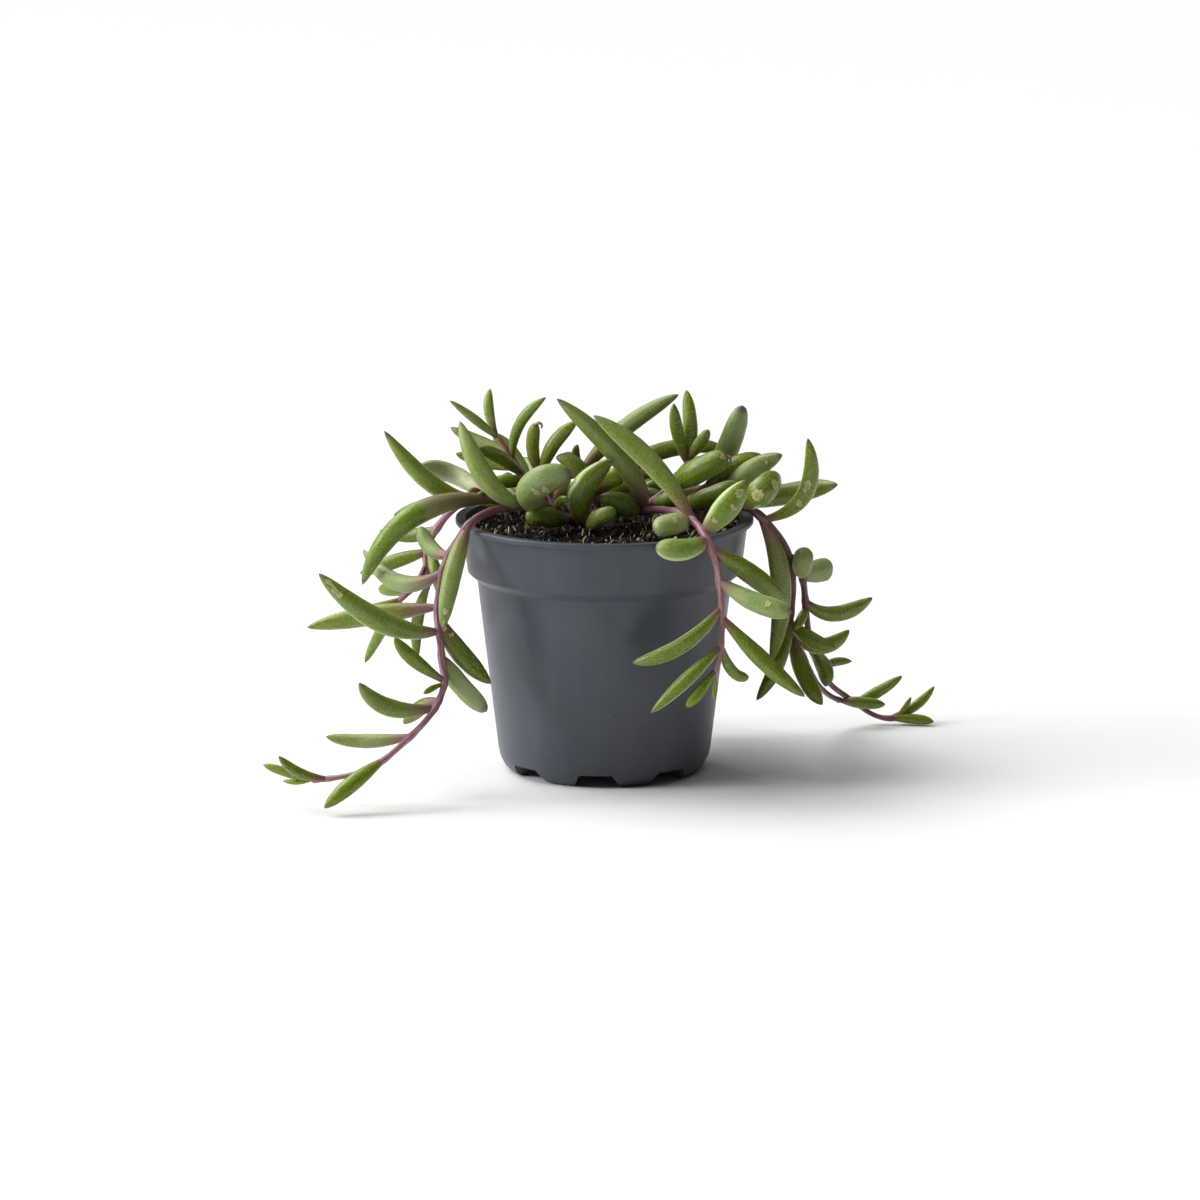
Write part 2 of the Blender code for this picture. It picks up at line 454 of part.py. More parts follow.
def back_low_shoots():
    """Three short shoots that creep over the soil behind the upright ones."""
    left = Shoot("shoot_low_left", (-30.0, 8.0), plain)
    left.stem(1.15, 0.8, [(-30.6, 80.6, 12), (-29.8, 81.4, 18), (-27.6, 81.2, 24), (-25.6, 80.8, 29.5)])
    left.leaf((-30.5, 80.4), (-35.5, 81.6, 2), (-41.5, 82.4, 5), 4.6)
    left.leaf((-30, 81.2), (-34.6, 82.4, 5), (-40.5, 83.4, 12), 5.2)
    left.leaf((-29.4, 81.4), (-24.0, 81.6, -1), (-19.0, 81.0, -5), 4.8, blunt=True)
    left.leaf((-28, 81.2), (-33.0, 82.6, 7), (-36.0, 83.8, 16), 4.8)
    left.leaf((-27, 81.1), (-21.8, 82.4, 0), (-17.0, 81.8, -4.5), 4.4)
    left.leaf((-26, 80.9), (-29.5, 83.0, 7), (-30.0, 84.4, 16), 5.0, blunt=True)
    left.leaf((-25.7, 80.8), (-24.2, 82.8, 7), (-24.0, 83.6, 14), 4.2)

    middle = Shoot("shoot_low_middle", (6.0, 22.0), plain)
    middle.stem(1.15, 0.8, [(6.6, 80.4, 25), (8.4, 80.8, 29), (10.4, 80.6, 33), (11.6, 80.6, 37)])
    middle.leaf((6.4, 79.6), (0.4, 80.4, 3), (-5.0, 81.2, 0), 4.6)
    middle.leaf((7.2, 80.6), (3.6, 81.6, 6), (1.0, 82.2, 13), 5.0)
    middle.leaf((8.4, 80.8), (13.0, 80.6, -1), (18.0, 80.6, -4), 4.8, blunt=True)
    middle.leaf((9.6, 80.7), (6.6, 82.2, 7), (6.4, 83.2, 15), 5.0)
    middle.leaf((10.6, 80.6), (16.0, 81.6, 3), (20.5, 81.2, 9), 4.8)
    middle.leaf((11.3, 80.6), (13.6, 83.0, 6), (13.6, 84.0, 14), 5.2, blunt=True)

    right = Shoot("shoot_low_right", (34.0, 11.0), plain)
    right.stem(1.15, 0.8, [(35.0, 80.6, 14), (36.6, 81.6, 17.5), (38.0, 82.0, 21.5), (38.4, 82.0, 25)])
    right.leaf((34.6, 80), (39.4, 82.0, -1), (45.0, 82.8, -1), 4.6)
    right.leaf((36, 81.2), (41.6, 82.8, 3), (48.2, 82.4, 6), 5.0)
    right.leaf((35.6, 81), (31.0, 81.2, 4), (28.6, 80.8, 9), 4.4, blunt=True)
    right.leaf((37.6, 81.9), (42.6, 83.4, 5), (47.6, 82.0, 11), 4.8, blunt=True)
    right.leaf((38.2, 82), (36.4, 84.2, 6), (34.6, 84.4, 12), 4.7)
    return [left, middle, right]


SHOOTS = (
    front_left_shoot, left_shoot, left_upright_shoot, left_middle_shoot, front_middle_shoot,
    front_right_shoot, right_upright_shoot, back_upright_shoot, right_middle_shoot, right_shoot,
)

# How leaves are bent clear of each other, of the stems, the pot and the floor.
BEND_ROUNDS = 240
PAIR_ROUNDS = 20             # rounds between two searches for leaves that lie close
BEND_STEPS = (0.16, 0.28, 0.4, 0.52, 0.64, 0.76, 0.88, 1.0)
STEM_SPACING = 1.5           # between the points of a stem that leaves are held clear of, mm
LEAF_PUSH = 0.25             # share of a lack of room that one round makes up, between leaves
STEM_PUSH = 0.4              # and between a leaf and a stem
ROUND_SHARE = 0.7
LEAST_REACH = 0.55           # keeps a point near the root from swinging the whole leaf
NEAR_ROOT = 0.3              # a leaf's foot, up to here, may lie against its own stem
RIM_ZONE = 5.0               # a leaf that far under the rim or higher passes over it, mm
LIP_ZONE = 3.0               # from the rim down, the lip is what stands out, mm
RIM_SHARE = 0.3              # of its half width, a leaf beside the lip counts as over it
SIGHT = np.array((0.0, math.cos(VIEW_TILT), -math.sin(VIEW_TILT)))


def outline_radius(height):
    """The pot's outer radius at a height, mm."""
    rim = POT_HEIGHT
    if height > rim - LIP_ZONE:
        return LIP_RADIUS
    if height > rim - CHAMFER_DROP:
        return COLLAR_TOP_RADIUS
    share = (height - BODY_BOTTOM_HEIGHT) / (rim - CHAMFER_DROP - BODY_BOTTOM_HEIGHT)
    return BODY_BOTTOM_RADIUS + (BODY_TOP_RADIUS - BODY_BOTTOM_RADIUS) * max(share, 0.0)


def close_pairs(points, others, needed, ignore):
    """The pairs that lie, across the line of sight, closer than needed, and the distance that
    each pair needs along it."""
    apart = points[:, None, :] - others[None, :, :]
    sideways = (apart**2).sum(2) - (apart @ SIGHT) ** 2
    first, second = np.nonzero((sideways < needed**2) & ~ignore)
    room = np.sqrt(needed[first, second] ** 2 - np.maximum(sideways[first, second], 0.0))
    return first, second, room


def push_apart(points, others, pairs):
    """How far along the line of sight each point has to move to clear the other that is worst."""
    first, second, room = pairs
    along = points[first] @ SIGHT - others[second] @ SIGHT
    short = room - np.abs(along)
    order = np.argsort(short)
    order = order[short[order] > 0]
    push = np.zeros(len(points))
    push[first[order]] = short[order] * np.where(along[order] >= 0, 1.0, -1.0)
    return push


def out_of_pot(points, widths):
    """How far each point has to move along the line of sight, and upwards, to clear pot and soil."""
    x, y, z = points.T
    radius = np.hypot(x, y)
    wall = np.array([outline_radius(height) for height in z]) + widths + GAP
    inner_lip = COLLAR_TOP_RADIUS - POT_WALL
    high = z > POT_HEIGHT - RIM_ZONE
    over_soil = high & (radius < inner_lip - widths)
    over_rim = high & ~over_soil & (radius < LIP_RADIUS + RIM_SHARE * widths)
    floor = np.where(over_soil, SOIL_HEIGHT + 2 * SOIL_ROUGHNESS, np.where(over_rim, POT_HEIGHT, 0.0))
    lift = np.maximum(floor + GAP + widths - z, 0.0)
    beside = ~over_soil & ~over_rim & (np.abs(x) < wall)
    room = np.sqrt(np.maximum(wall**2 - x**2, 0.0)) - np.abs(y)
    away = np.where(beside, np.maximum(room, 0.0), 0.0) * np.where(y < 0, -1.0, 1.0)
    return away / SIGHT[1], lift


def bend_clear(shoots):
    """Moves the leaves' middle and tip points, along the line of sight, until leaves lie beside
    each other and not in each other. Also lifts what would lie in the pot, soil or floor."""
    leaves = [(n, leaf) for n, s in enumerate(shoots) for leaf in s.leaves]
    count = len(leaves)
    steps = np.array(BEND_STEPS)
    weights = np.stack(
        [(1 - steps) * (1 - 2 * steps), 4 * steps * (1 - steps), steps * (2 * steps - 1)], 1
    )
    widths = np.array([[leaf.half_width(t) for t in BEND_STEPS] for _, leaf in leaves]).ravel()
    middle_share = np.tile(weights[:, 1], count)
    tip_share = np.tile(weights[:, 2], count)
    reach = np.maximum(middle_share**2 + tip_share**2, LEAST_REACH)
    stem_points, stem_radii, stem_owner = [], [], []
    for n, s in enumerate(shoots):
        for points, radii in s.lines:
            for i, (a, b) in enumerate(zip(points, points[1:])):
                pieces = max(int((b - a).length / STEM_SPACING), 1)
                for k in range(pieces):
                    stem_points.append(a.lerp(b, k / pieces))
                    stem_radii.append(radii[i])
                    stem_owner.append(n)
    stem_points, stem_radii = np.array(stem_points), np.array(stem_radii)
    controls = np.array([[leaf.root, leaf.middle, leaf.tip] for _, leaf in leaves])
    near_root = np.tile(steps, count) < NEAR_ROOT
    owner = np.repeat(np.arange(count), len(steps))
    shoot_of = np.array([n for n, _ in leaves])[owner]
    one_root = (shoot_of[:, None] == shoot_of[None, :]) & (near_root[:, None] | near_root[None, :])
    one_leaf = owner[:, None] == owner[None, :]
    own_stem = (shoot_of[:, None] == np.array(stem_owner)[None, :]) & near_root[:, None]
    leaf_room = widths[:, None] + widths[None, :] + GAP
    stem_room = widths[:, None] + stem_radii[None, :] + GAP
    for turn in range(BEND_ROUNDS):
        points = np.einsum("sk,lkd->lsd", weights, controls).reshape(-1, 3)
        if turn % PAIR_ROUNDS == 0:
            leaf_pairs = close_pairs(points, points, leaf_room, one_root | one_leaf)
            stem_pairs = close_pairs(points, stem_points, stem_room, own_stem)
        away, lift = out_of_pot(points, widths)
        lift[near_root] = 0.0
        between = push_apart(points, points, leaf_pairs)
        from_stem = push_apart(points, stem_points, stem_pairs)
        move = (LEAF_PUSH * between + STEM_PUSH * from_stem + away)[:, None] * SIGHT
        move[:, 2] += lift
        for share, column in ((middle_share, 1), (tip_share, 2)):
            step = (move * (share / reach)[:, None]).reshape(count, len(steps), 3)
            strongest = np.abs(step).sum(2).argmax(1)
            controls[:, column] += step[np.arange(count), strongest] * ROUND_SHARE
    for (_, leaf), (_, middle, tip) in zip(leaves, controls):
        leaf.middle, leaf.tip = Vector(middle), Vector(tip)


def material(name, colour, roughness):
    made = bpy.data.materials.new(name)
    made.use_nodes = True
    shader = made.node_tree.nodes["Principled BSDF"]
    shader.inputs["Base Color"].default_value = (*colour, 1.0)
    shader.inputs["Roughness"].default_value = roughness
    shader.inputs["Metallic"].default_value = 0.0
    made.diffuse_color = (*colour, 1.0)
    return made


def new_object(name, mesh_maker, finish=None):
    """An object whose mesh mesh_maker fills, in metres."""
    mesh = bpy.data.meshes.new(name)
    bm = bmesh.new()
    mesh_maker(bm)
    bmesh.ops.scale(bm, vec=(MM, MM, MM), verts=bm.verts)
    bm.to_mesh(mesh)
    bm.free()
    if finish:
        mesh.materials.append(finish)
    made = bpy.data.objects.new(name, mesh)
    bpy.context.scene.collection.objects.link(made)
    return made


def ring(bm, centre, side, over, half_side, half_over, count):
    """A ring of vertices round centre, in the plane of side and over."""
    return [
        bm.verts.new(
            centre
            + side * (half_side * math.cos(2 * math.pi * i / count))
            + over * (half_over * math.sin(2 * math.pi * i / count))
        )
        for i in range(count)
    ]


def join_rings(bm, first, second):
    for i in range(len(first)):
        j = (i + 1) % len(first)
        bm.faces.new((first[i], first[j], second[j], second[i]))


def tube(bm, points, radii):
    """A stem: rings at the points, with closed ends."""
    rings = []
    over = Vector((0.0, 1.0, 0.0))
    for i, p in enumerate(points):
        ahead = points[min(i + 1, len(points) - 1)] - points[max(i - 1, 0)]
        side = over.cross(ahead).normalized()
        over = ahead.cross(side).normalized()
        rings.append(ring(bm, p, side, over, radii[i], radii[i], STEM_SIDES))
    for a, b in zip(rings, rings[1:]):
        join_rings(bm, a, b)
    bm.faces.new(list(reversed(rings[0])))
    bm.faces.new(rings[-1])


def spindle(bm, leaf):
    """A leaf: rings along its middle line, closed by a point at the tip."""
    small = leaf.length() < SMALL_LEAF
    steps = SMALL_LEAF_RINGS if small else LEAF_RINGS
    sides = LEAF_SIDES - 1 if small else LEAF_SIDES
    to_eye = Vector((0.0, -math.cos(VIEW_TILT), math.sin(VIEW_TILT)))
    rings = []
    side = None
    for t in steps:
        ahead = (leaf.point(t + NEAR) - leaf.point(t - NEAR)).normalized()
        if side is None:
            face = to_eye if abs(ahead.dot(to_eye)) < HEAD_ON else Vector((0.0, 0.0, 1.0))
            side = ahead.cross(face)
        side = (side - ahead * side.dot(ahead)).normalized()
        half = leaf.half_width(t)
        rings.append(
            ring(bm, leaf.point(t), side, ahead.cross(side), half, half * LEAF_THICKNESS, sides)
        )
    for a, b in zip(rings, rings[1:]):
        join_rings(bm, a, b)
    bm.faces.new(list(reversed(rings[0])))
    tip = bm.verts.new(leaf.tip)
    for i in range(sides):
        bm.faces.new((rings[-1][i], rings[-1][(i + 1) % sides], tip))


def apply_modifiers(target):
    """Turns the object's modifiers into its mesh."""
    graph = bpy.context.evaluated_depsgraph_get()
    shaped = bpy.data.meshes.new_from_object(target.evaluated_get(graph))
    old = target.data
    target.modifiers.clear()
    target.data = shaped
    bpy.data.meshes.remove(old)


def combine(target, parts, operation):
    """Joins the parts to the target, or cuts them from it, with one Boolean on their collection."""
    group = bpy.data.collections.new(target.name + "_parts")
    bpy.context.scene.collection.children.link(group)
    for part in parts:
        bpy.context.scene.collection.objects.unlink(part)
        group.objects.link(part)
    change = target.modifiers.new("combine", "BOOLEAN")
    change.operation = operation
    change.operand_type = "COLLECTION"
    change.collection = group
    change.solver = "EXACT"
    apply_modifiers(target)
    for part in parts:
        bpy.data.objects.remove(part)
    bpy.data.collections.remove(group)


def smooth(target, angle):
    target.data.shade_smooth()
    target.data.set_sharp_from_angle(angle=math.radians(angle))


def build_shoot(shoot, finish):
    """A stem with its branches and leaves, joined in one body."""
    points, radii = shoot.lines[0]
    stem = new_object(shoot.name, lambda bm: tube(bm, points, radii), finish)
    parts = []
    for points, radii in shoot.lines[1:]:
        parts.append(new_object("branch", lambda bm: tube(bm, points, radii)))
    for leaf in shoot.leaves:
        parts.append(new_object("leaf", lambda bm: spindle(bm, leaf)))
    combine(stem, parts, "UNION")
    smooth(stem, SMOOTH_ANGLE["leaves"])
    return stem


def turned(bm, profile, count, wobble=None):
    """A turned solid: profile is (radius, height) from the axis round to the axis again."""
    rows = []
    for k, (radius, height) in enumerate(profile):
        if radius == 0:
            rows.append([bm.verts.new((0.0, 0.0, height))])
            continue
        row = []
        for i in range(count):
            angle = 2 * math.pi * i / count
            rise = wobble(k, radius, angle) if wobble else 0.0
            row.append(
                bm.verts.new(
                    (radius * math.cos(angle), radius * math.sin(angle), height + rise)
                )
            )
        rows.append(row)
    for a, b in zip(rows, rows[1:]):
        for i in range(count):
            j = (i + 1) % count
            if len(a) == 1:
                bm.faces.new((a[0], b[j], b[i]))
            elif len(b) == 1:
                bm.faces.new((a[i], a[j], b[0]))
            else:
                bm.faces.new((a[i], a[j], b[j], b[i]))


def rod(bm, x, y, bottom, top, radius):
    """An upright rod, to cut a round hole with."""
    across, along = Vector((1.0, 0.0, 0.0)), Vector((0.0, 1.0, 0.0))
    low = ring(bm, Vector((x, y, bottom)), across, along, radius, radius, HOLE_SIDES)
    high = ring(bm, Vector((x, y, top)), across, along, radius, radius, HOLE_SIDES)
    join_rings(bm, low, high)
    bm.faces.new(list(reversed(low)))
    bm.faces.new(high)


def pot_outside():
    """The pot's outer profile from the rim down to the foot, (radius, height)."""
    rim = POT_HEIGHT
    return [
        (LIP_RADIUS - LIP_ROUNDING, rim),
        (LIP_RADIUS, rim - LIP_ROUNDING),
        (LIP_RADIUS, rim - LIP_HEIGHT),
        (COLLAR_TOP_RADIUS, rim - LIP_HEIGHT - LIP_UNDERCUT),
        (COLLAR_BOTTOM_RADIUS, rim - COLLAR_DROP),
        (BODY_TOP_RADIUS, rim - CHAMFER_DROP),
        (BODY_BOTTOM_RADIUS, BODY_BOTTOM_HEIGHT),
        *((BODY_BOTTOM_RADIUS - inwards, height) for inwards, height in HEEL),
        (FOOT_RADIUS + FOOT_ROUNDING[0], FOOT_ROUNDING[1]),
        (FOOT_RADIUS, 0.0),
    ]


def inner_radius(height):
    """The radius of the pot's inside at a height."""
    rim = POT_HEIGHT
    marks = [
        (BODY_BOTTOM_HEIGHT, BODY_BOTTOM_RADIUS),
        (rim - CHAMFER_DROP, BODY_TOP_RADIUS),
        (rim - COLLAR_DROP, COLLAR_BOTTOM_RADIUS),
        (rim, COLLAR_TOP_RADIUS),
    ]
    for (z0, r0), (z1, r1) in zip(marks, marks[1:]):
        if height <= z1:
            return r0 + (r1 - r0) * max(height - z0, 0.0) / (z1 - z0) - POT_WALL
    return COLLAR_TOP_RADIUS - POT_WALL


def build_pot(finish):
    """The pot: a turned shell on low feet, with drain holes in its raised base plate."""
    plate_top = FLOOR_RECESS + POT_WALL
    rim = POT_HEIGHT
    corner_in, corner_up = INNER_CORNER
    inside = [
        (inner_radius(BODY_BOTTOM_HEIGHT) - corner_in, plate_top),
        (inner_radius(BODY_BOTTOM_HEIGHT), plate_top + corner_up),
        (inner_radius(rim - CHAMFER_DROP), rim - CHAMFER_DROP),
        (inner_radius(rim - COLLAR_DROP), rim - COLLAR_DROP),
        (inner_radius(rim), rim),
    ]
    foot_inside = FOOT_RADIUS - FOOT_WALL
    profile = (
        [(0, FLOOR_RECESS), (foot_inside, FLOOR_RECESS), (foot_inside, 0.0)]
        + list(reversed(pot_outside()))
        + list(reversed(inside))
        + [(0, plate_top)]
    )
    pot = new_object("pot", lambda bm: turned(bm, profile, POT_SIDES), finish)

    def notch(bm, turn):
        """The gap between two feet: a wedge through the foot's wall, narrower at its top."""
        corners = []
        inner, outer = foot_inside - FOOT_WALL, FOOT_RADIUS + 4 * FOOT_WALL
        for z, span in ((0.0, NOTCH_ANGLE), (NOTCH_HEIGHT, NOTCH_TOP_ANGLE)):
            for radius, side in ((inner, -1), (outer, -1), (outer, 1), (inner, 1)):
                angle = turn + side * math.radians(span / 2)
                corners.append(
                    bm.verts.new((radius * math.cos(angle), radius * math.sin(angle), z))
                )
        join_rings(bm, corners[:4], corners[4:])
        bm.faces.new(list(reversed(corners[:4])))
        bm.faces.new(corners[4:])

    cutters = []
    first_notch = math.radians(FOOT_TURN - 90 + 180 / FEET)
    for i in range(FEET):
        turn = first_notch + 2 * math.pi * i / FEET
        cutters.append(new_object("notch", lambda bm: notch(bm, turn)))
    for i in range(DRAIN_HOLES):
        turn = 2 * math.pi * i / DRAIN_HOLES
        x, y = DRAIN_RING * math.cos(turn), DRAIN_RING * math.sin(turn)
        drain = new_object("drain", lambda bm: rod(bm, x, y, 0.0, plate_top + 1, DRAIN_RADIUS))
        cutters.append(drain)
    combine(pot, cutters, "DIFFERENCE")
    smooth(pot, SMOOTH_ANGLE["pot"])
    return pot


def build_soil(shoots, finish):
    """The peat: it fills the pot, rough on top, with a plain hole for each stem."""
    low = FLOOR_RECESS + POT_WALL + SOIL_BOTTOM_GAP
    side = [low, POT_HEIGHT - CHAMFER_DROP, POT_HEIGHT - COLLAR_DROP, SOIL_HEIGHT - SOIL_EDGE]
    profile = [(0, low)] + [(inner_radius(z) - SOIL_WALL_GAP, z) for z in side]
    outermost = inner_radius(SOIL_HEIGHT) - GAP - SOIL_EDGE
    first_top = len(profile)
    for k in range(SOIL_RINGS):
        share = 1 - k / SOIL_RINGS
        profile.append((outermost * share, SOIL_HEIGHT))
    profile.append((0, SOIL_HEIGHT))

    def crumble(row, radius, angle):
        """The top's rise and fall: a sum of waves that never quite repeat."""
        if row < first_top:
            return 0.0
        x, y = radius * math.cos(angle), radius * math.sin(angle)
        height = sum(
            strength * math.sin(across * x + along * y + start)
            for strength, across, along, start in SOIL_WAVES
        )
        return SOIL_ROUGHNESS * height / sum(wave[0] for wave in SOIL_WAVES)

    soil = new_object("soil", lambda bm: turned(bm, profile, SOIL_SIDES, crumble), finish)

    cutters = []
    for shoot in shoots:
        x, y = shoot.foot
        radius = shoot.lines[0][1][0] + HOLE_CLEARANCE
        bottom, top = SOIL_HEIGHT - BURIED - GAP, SOIL_HEIGHT + 2 * STEM_RISE
        cutters.append(new_object("hole", lambda bm: rod(bm, x, y, bottom, top, radius)))
    combine(soil, cutters, "DIFFERENCE")
    smooth(soil, SMOOTH_ANGLE["soil"])
    return soil


def build():
    for old in list(bpy.data.objects):
        bpy.data.objects.remove(old)
    plastic = material("pot_plastic", (0.095, 0.105, 0.125), 0.5)
    peat = material("peat", (0.028, 0.02, 0.015), 0.95)
    foliage = material("foliage", (0.13, 0.22, 0.035), 0.42)
    shoots = [make() for make in SHOOTS] + back_trailing_shoots() + back_low_shoots()
    bend_clear(shoots)
    build_pot(plastic)
    build_soil(shoots, peat)
    for shoot in shoots:
        build_shoot(shoot, foliage)


build()
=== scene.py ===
"""A trailing succulent in a small grey nursery pot: fat waxy leaves on mauve stems, in dark peat.

The frame is in metres, +Z up, -Y to the front. Places and sizes of the pieces are written in
millimetres and turned to metres where a mesh is made.
"""

import math
import random

import bmesh
import bpy
import numpy as np
from mathutils import Matrix, Vector, noise


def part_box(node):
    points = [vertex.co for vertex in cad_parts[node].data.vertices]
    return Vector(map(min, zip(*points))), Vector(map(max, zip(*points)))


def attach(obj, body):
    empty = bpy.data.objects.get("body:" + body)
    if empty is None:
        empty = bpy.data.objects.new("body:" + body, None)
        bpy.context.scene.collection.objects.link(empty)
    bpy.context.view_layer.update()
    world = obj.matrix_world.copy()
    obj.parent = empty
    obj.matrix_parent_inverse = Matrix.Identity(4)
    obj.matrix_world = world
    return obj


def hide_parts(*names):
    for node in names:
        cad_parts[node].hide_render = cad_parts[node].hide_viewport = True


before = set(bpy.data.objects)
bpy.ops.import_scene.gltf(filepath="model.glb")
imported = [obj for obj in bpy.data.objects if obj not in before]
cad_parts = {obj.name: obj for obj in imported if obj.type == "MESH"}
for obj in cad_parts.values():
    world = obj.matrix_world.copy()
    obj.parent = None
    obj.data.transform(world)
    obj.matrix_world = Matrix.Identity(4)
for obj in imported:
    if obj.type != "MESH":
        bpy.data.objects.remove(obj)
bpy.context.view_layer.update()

# The pot: one thin injection-moulded shell of blue-grey polypropylene on a ring of low feet.
# It is turned from its outline with every corner rounded as a mould leaves it. The notches
# between the feet and the drain holes are cut afterwards.

MM = 0.001
pot_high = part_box("pot")[1]
POT_HEIGHT = pot_high.z / MM
LIP_RADIUS = pot_high.x / MM
POT_WALL = 1.3
LIP_HEIGHT = 1.5
LIP_SLOPE = 0.4              # how much its underside slopes
COLLAR_TOP_RADIUS = LIP_RADIUS - 1.8
COLLAR_BOTTOM_RADIUS = 42.3
COLLAR_DROP = 16.5           # from the rim down to the collar's lower edge
CHAMFER_DROP = 18.9          # from the rim down to where the chamfer meets the body
BODY_TOP_RADIUS = 39.4
BODY_BOTTOM_RADIUS = 32.9
BODY_BOTTOM_HEIGHT = 6.8
HEEL_TOP = (0.6, 2.6)        # inwards and down from the body's lower end
HEEL_HEIGHT = 2.1
HEEL_STEP = 1.6              # how far it lies inside the body
FOOT_CHAMFER = (1.4, 0.6)    # outwards and up from the foot's edge
FOOT_RADIUS = 28.4
FOOT_WALL = 2.2
FLOOR_RECESS = 4.9           # the base plate stands this far above the floor
FEET = 8
NOTCH_ANGLE = 28.0           # degrees between one foot and the next, at the floor
NOTCH_SPREAD = 2.4           # how much wider a notch's cutter is 1 mm under the floor
NOTCH_TOP_ANGLE = 18.0
NOTCH_HEIGHT = 4.2
FOOT_TURN = 17.3             # degrees from the front to the first foot
INNER_CHAMFER = (0.6, 1.6)   # inwards and up, where the wall meets the base plate
DRAIN_HOLES = 6
DRAIN_RADIUS = 3.0
DRAIN_RING = 19.0            # radius of the circle that the drain holes lie on
DRAIN_DEPTH = 8.0            # of the cutter, through the base plate
DRAIN_SIDES = 32
POT_SIDES = 192
SHARP_ANGLE = 32             # degrees past which an edge of the pot is sharp
POT_GREY = (67, 71, 81)      # colours are written as a screen shows them, 0 to 255
POT_WORN = (94, 96, 100)
POT_SCUFF = (140, 142, 142)
POT_DUST = (176, 172, 158)
POT_SHADE = 0.86             # how bright its darker flow marks are, next to the grey


def paint(red, green, blue):
    """A colour as a screen shows it, 0 to 255, turned to the linear values that a shader takes."""
    shown = [c / 255 for c in (red, green, blue)]
    return tuple(c / 12.92 if c < 0.04045 else ((c + 0.055) / 1.055) ** 2.4 for c in shown) + (1.0,)


def node(tree, kind, inputs=None, **settings):
    """A new node. Each input is given by name or number, as a value or as a socket to link."""
    made = tree.nodes.new(kind)
    for key, value in settings.items():
        setattr(made, key, value)
    for key, value in (inputs or {}).items():
        if isinstance(value, bpy.types.NodeSocket):
            tree.links.new(value, made.inputs[key])
        else:
            made.inputs[key].default_value = value
    return made


def calc(tree, operation, first, second=0.0, clamp=False):
    """The result of a sum, power or the like, as a socket."""
    made = node(tree, "ShaderNodeMath", {0: first, 1: second}, operation=operation)
    made.use_clamp = clamp
    return made.outputs[0]


def plus(tree, first, second):
    return calc(tree, "ADD", first, second)


def minus(tree, first, second):
    return calc(tree, "SUBTRACT", first, second)


def times(tree, product, *factors):
    """The product of them all, as a socket."""
    for factor in factors:
        product = calc(tree, "MULTIPLY", product, factor)
    return product


def ease(tree, value, low, high, to_low=0.0, to_high=1.0):
    """A smooth step from to_low, where value is low, to to_high, where it is high."""
    made = node(
        tree, "ShaderNodeMapRange",
        {"Value": value, "From Min": low, "From Max": high, "To Min": to_low, "To Max": to_high},
        interpolation_type="SMOOTHSTEP",
    )
    return made.outputs[0]


def mix(tree, share, first, second):
    """One colour changed into another by share, as a socket."""
    inputs = {0: share, 6: first, 7: second}
    return node(tree, "ShaderNodeMix", inputs, data_type="RGBA").outputs[2]


def coated(tree, tone, *coats):
    """The tone under coats of colour, each given by its share, from 0 to 1, and its colour."""
    for share, colour in coats:
        tone = mix(tree, share, tone, colour)
    return tone


def stretch(tree, vector, *by):
    """The vector with its three numbers multiplied, to draw a pattern out."""
    return node(tree, "ShaderNodeVectorMath", {0: vector, 1: by}, operation="MULTIPLY").outputs[0]


def clouds(tree, vector, scale, detail=3.0, roughness=0.55):
    """Soft noise from 0 to 1."""
    inputs = {"Vector": vector, "Scale": scale, "Detail": detail, "Roughness": roughness}
    return node(tree, "ShaderNodeTexNoise", inputs).outputs["Fac"]


def new_tree(name, kind, inputs, output, output_kind):
    """A node tree with named inputs and one output, and its inputs' sockets. Each input is given
    by its usual value, or by its kind where it has none."""
    tree = bpy.data.node_groups.new(name, kind)
    for key, usual in inputs.items():
        sort = usual if isinstance(usual, str) else {int: "Int", float: "Float"}[type(usual)]
        socket = tree.interface.new_socket(key, in_out="INPUT", socket_type="NodeSocket" + sort)
        if sort != usual:
            socket.default_value = usual
    tree.interface.new_socket(output, in_out="OUTPUT", socket_type="NodeSocket" + output_kind)
    return tree, tree.nodes.new("NodeGroupInput").outputs


def specks_group():
    """Small pale specks, such as dust and dried drops: each cell of a pattern may hold one."""
    tree, given = new_tree(
        "specks", "ShaderNodeTree", {"Vector": "Vector", "Scale": 1.0, "Size": 0.2, "Share": 0.1},
        "Mask", "Float",
    )
    cells = node(tree, "ShaderNodeTexVoronoi", {"Vector": given["Vector"], "Scale": given["Scale"]})
    near = calc(tree, "LESS_THAN", cells.outputs["Distance"], given["Size"])
    draw = node(tree, "ShaderNodeSeparateColor", {"Color": cells.outputs["Color"]})
    chosen = calc(tree, "LESS_THAN", draw.outputs[0], given["Share"])
    node(tree, "NodeGroupOutput", {"Mask": times(tree, near, chosen)})
    return tree


SPECKS = specks_group()


def specks(tree, vector, scale, size, share):
    """Where the specks are, from 0 to 1. share is that of the cells which hold one."""
    inputs = {"Vector": vector, "Scale": scale, "Size": size, "Share": share}
    return node(tree, "ShaderNodeGroup", inputs, node_tree=SPECKS).outputs["Mask"]


def bump(tree, height, strength, distance, normal=None):
    """The normal of a surface that height raises, over what another bump has raised."""
    inputs = {"Height": height, "Strength": strength, "Distance": distance}
    if normal:
        inputs["Normal"] = normal
    return node(tree, "ShaderNodeBump", inputs).outputs[0]


def new_material(name, **sockets):
    """A material with its Principled shader, whose constant values are set on its own sockets."""
    made = bpy.data.materials.new(name)
    made.use_nodes = True
    shader = made.node_tree.nodes["Principled BSDF"]
    for key, value in sockets.items():
        shader.inputs[key.replace("_", " ")].default_value = value
    return made, made.node_tree, shader


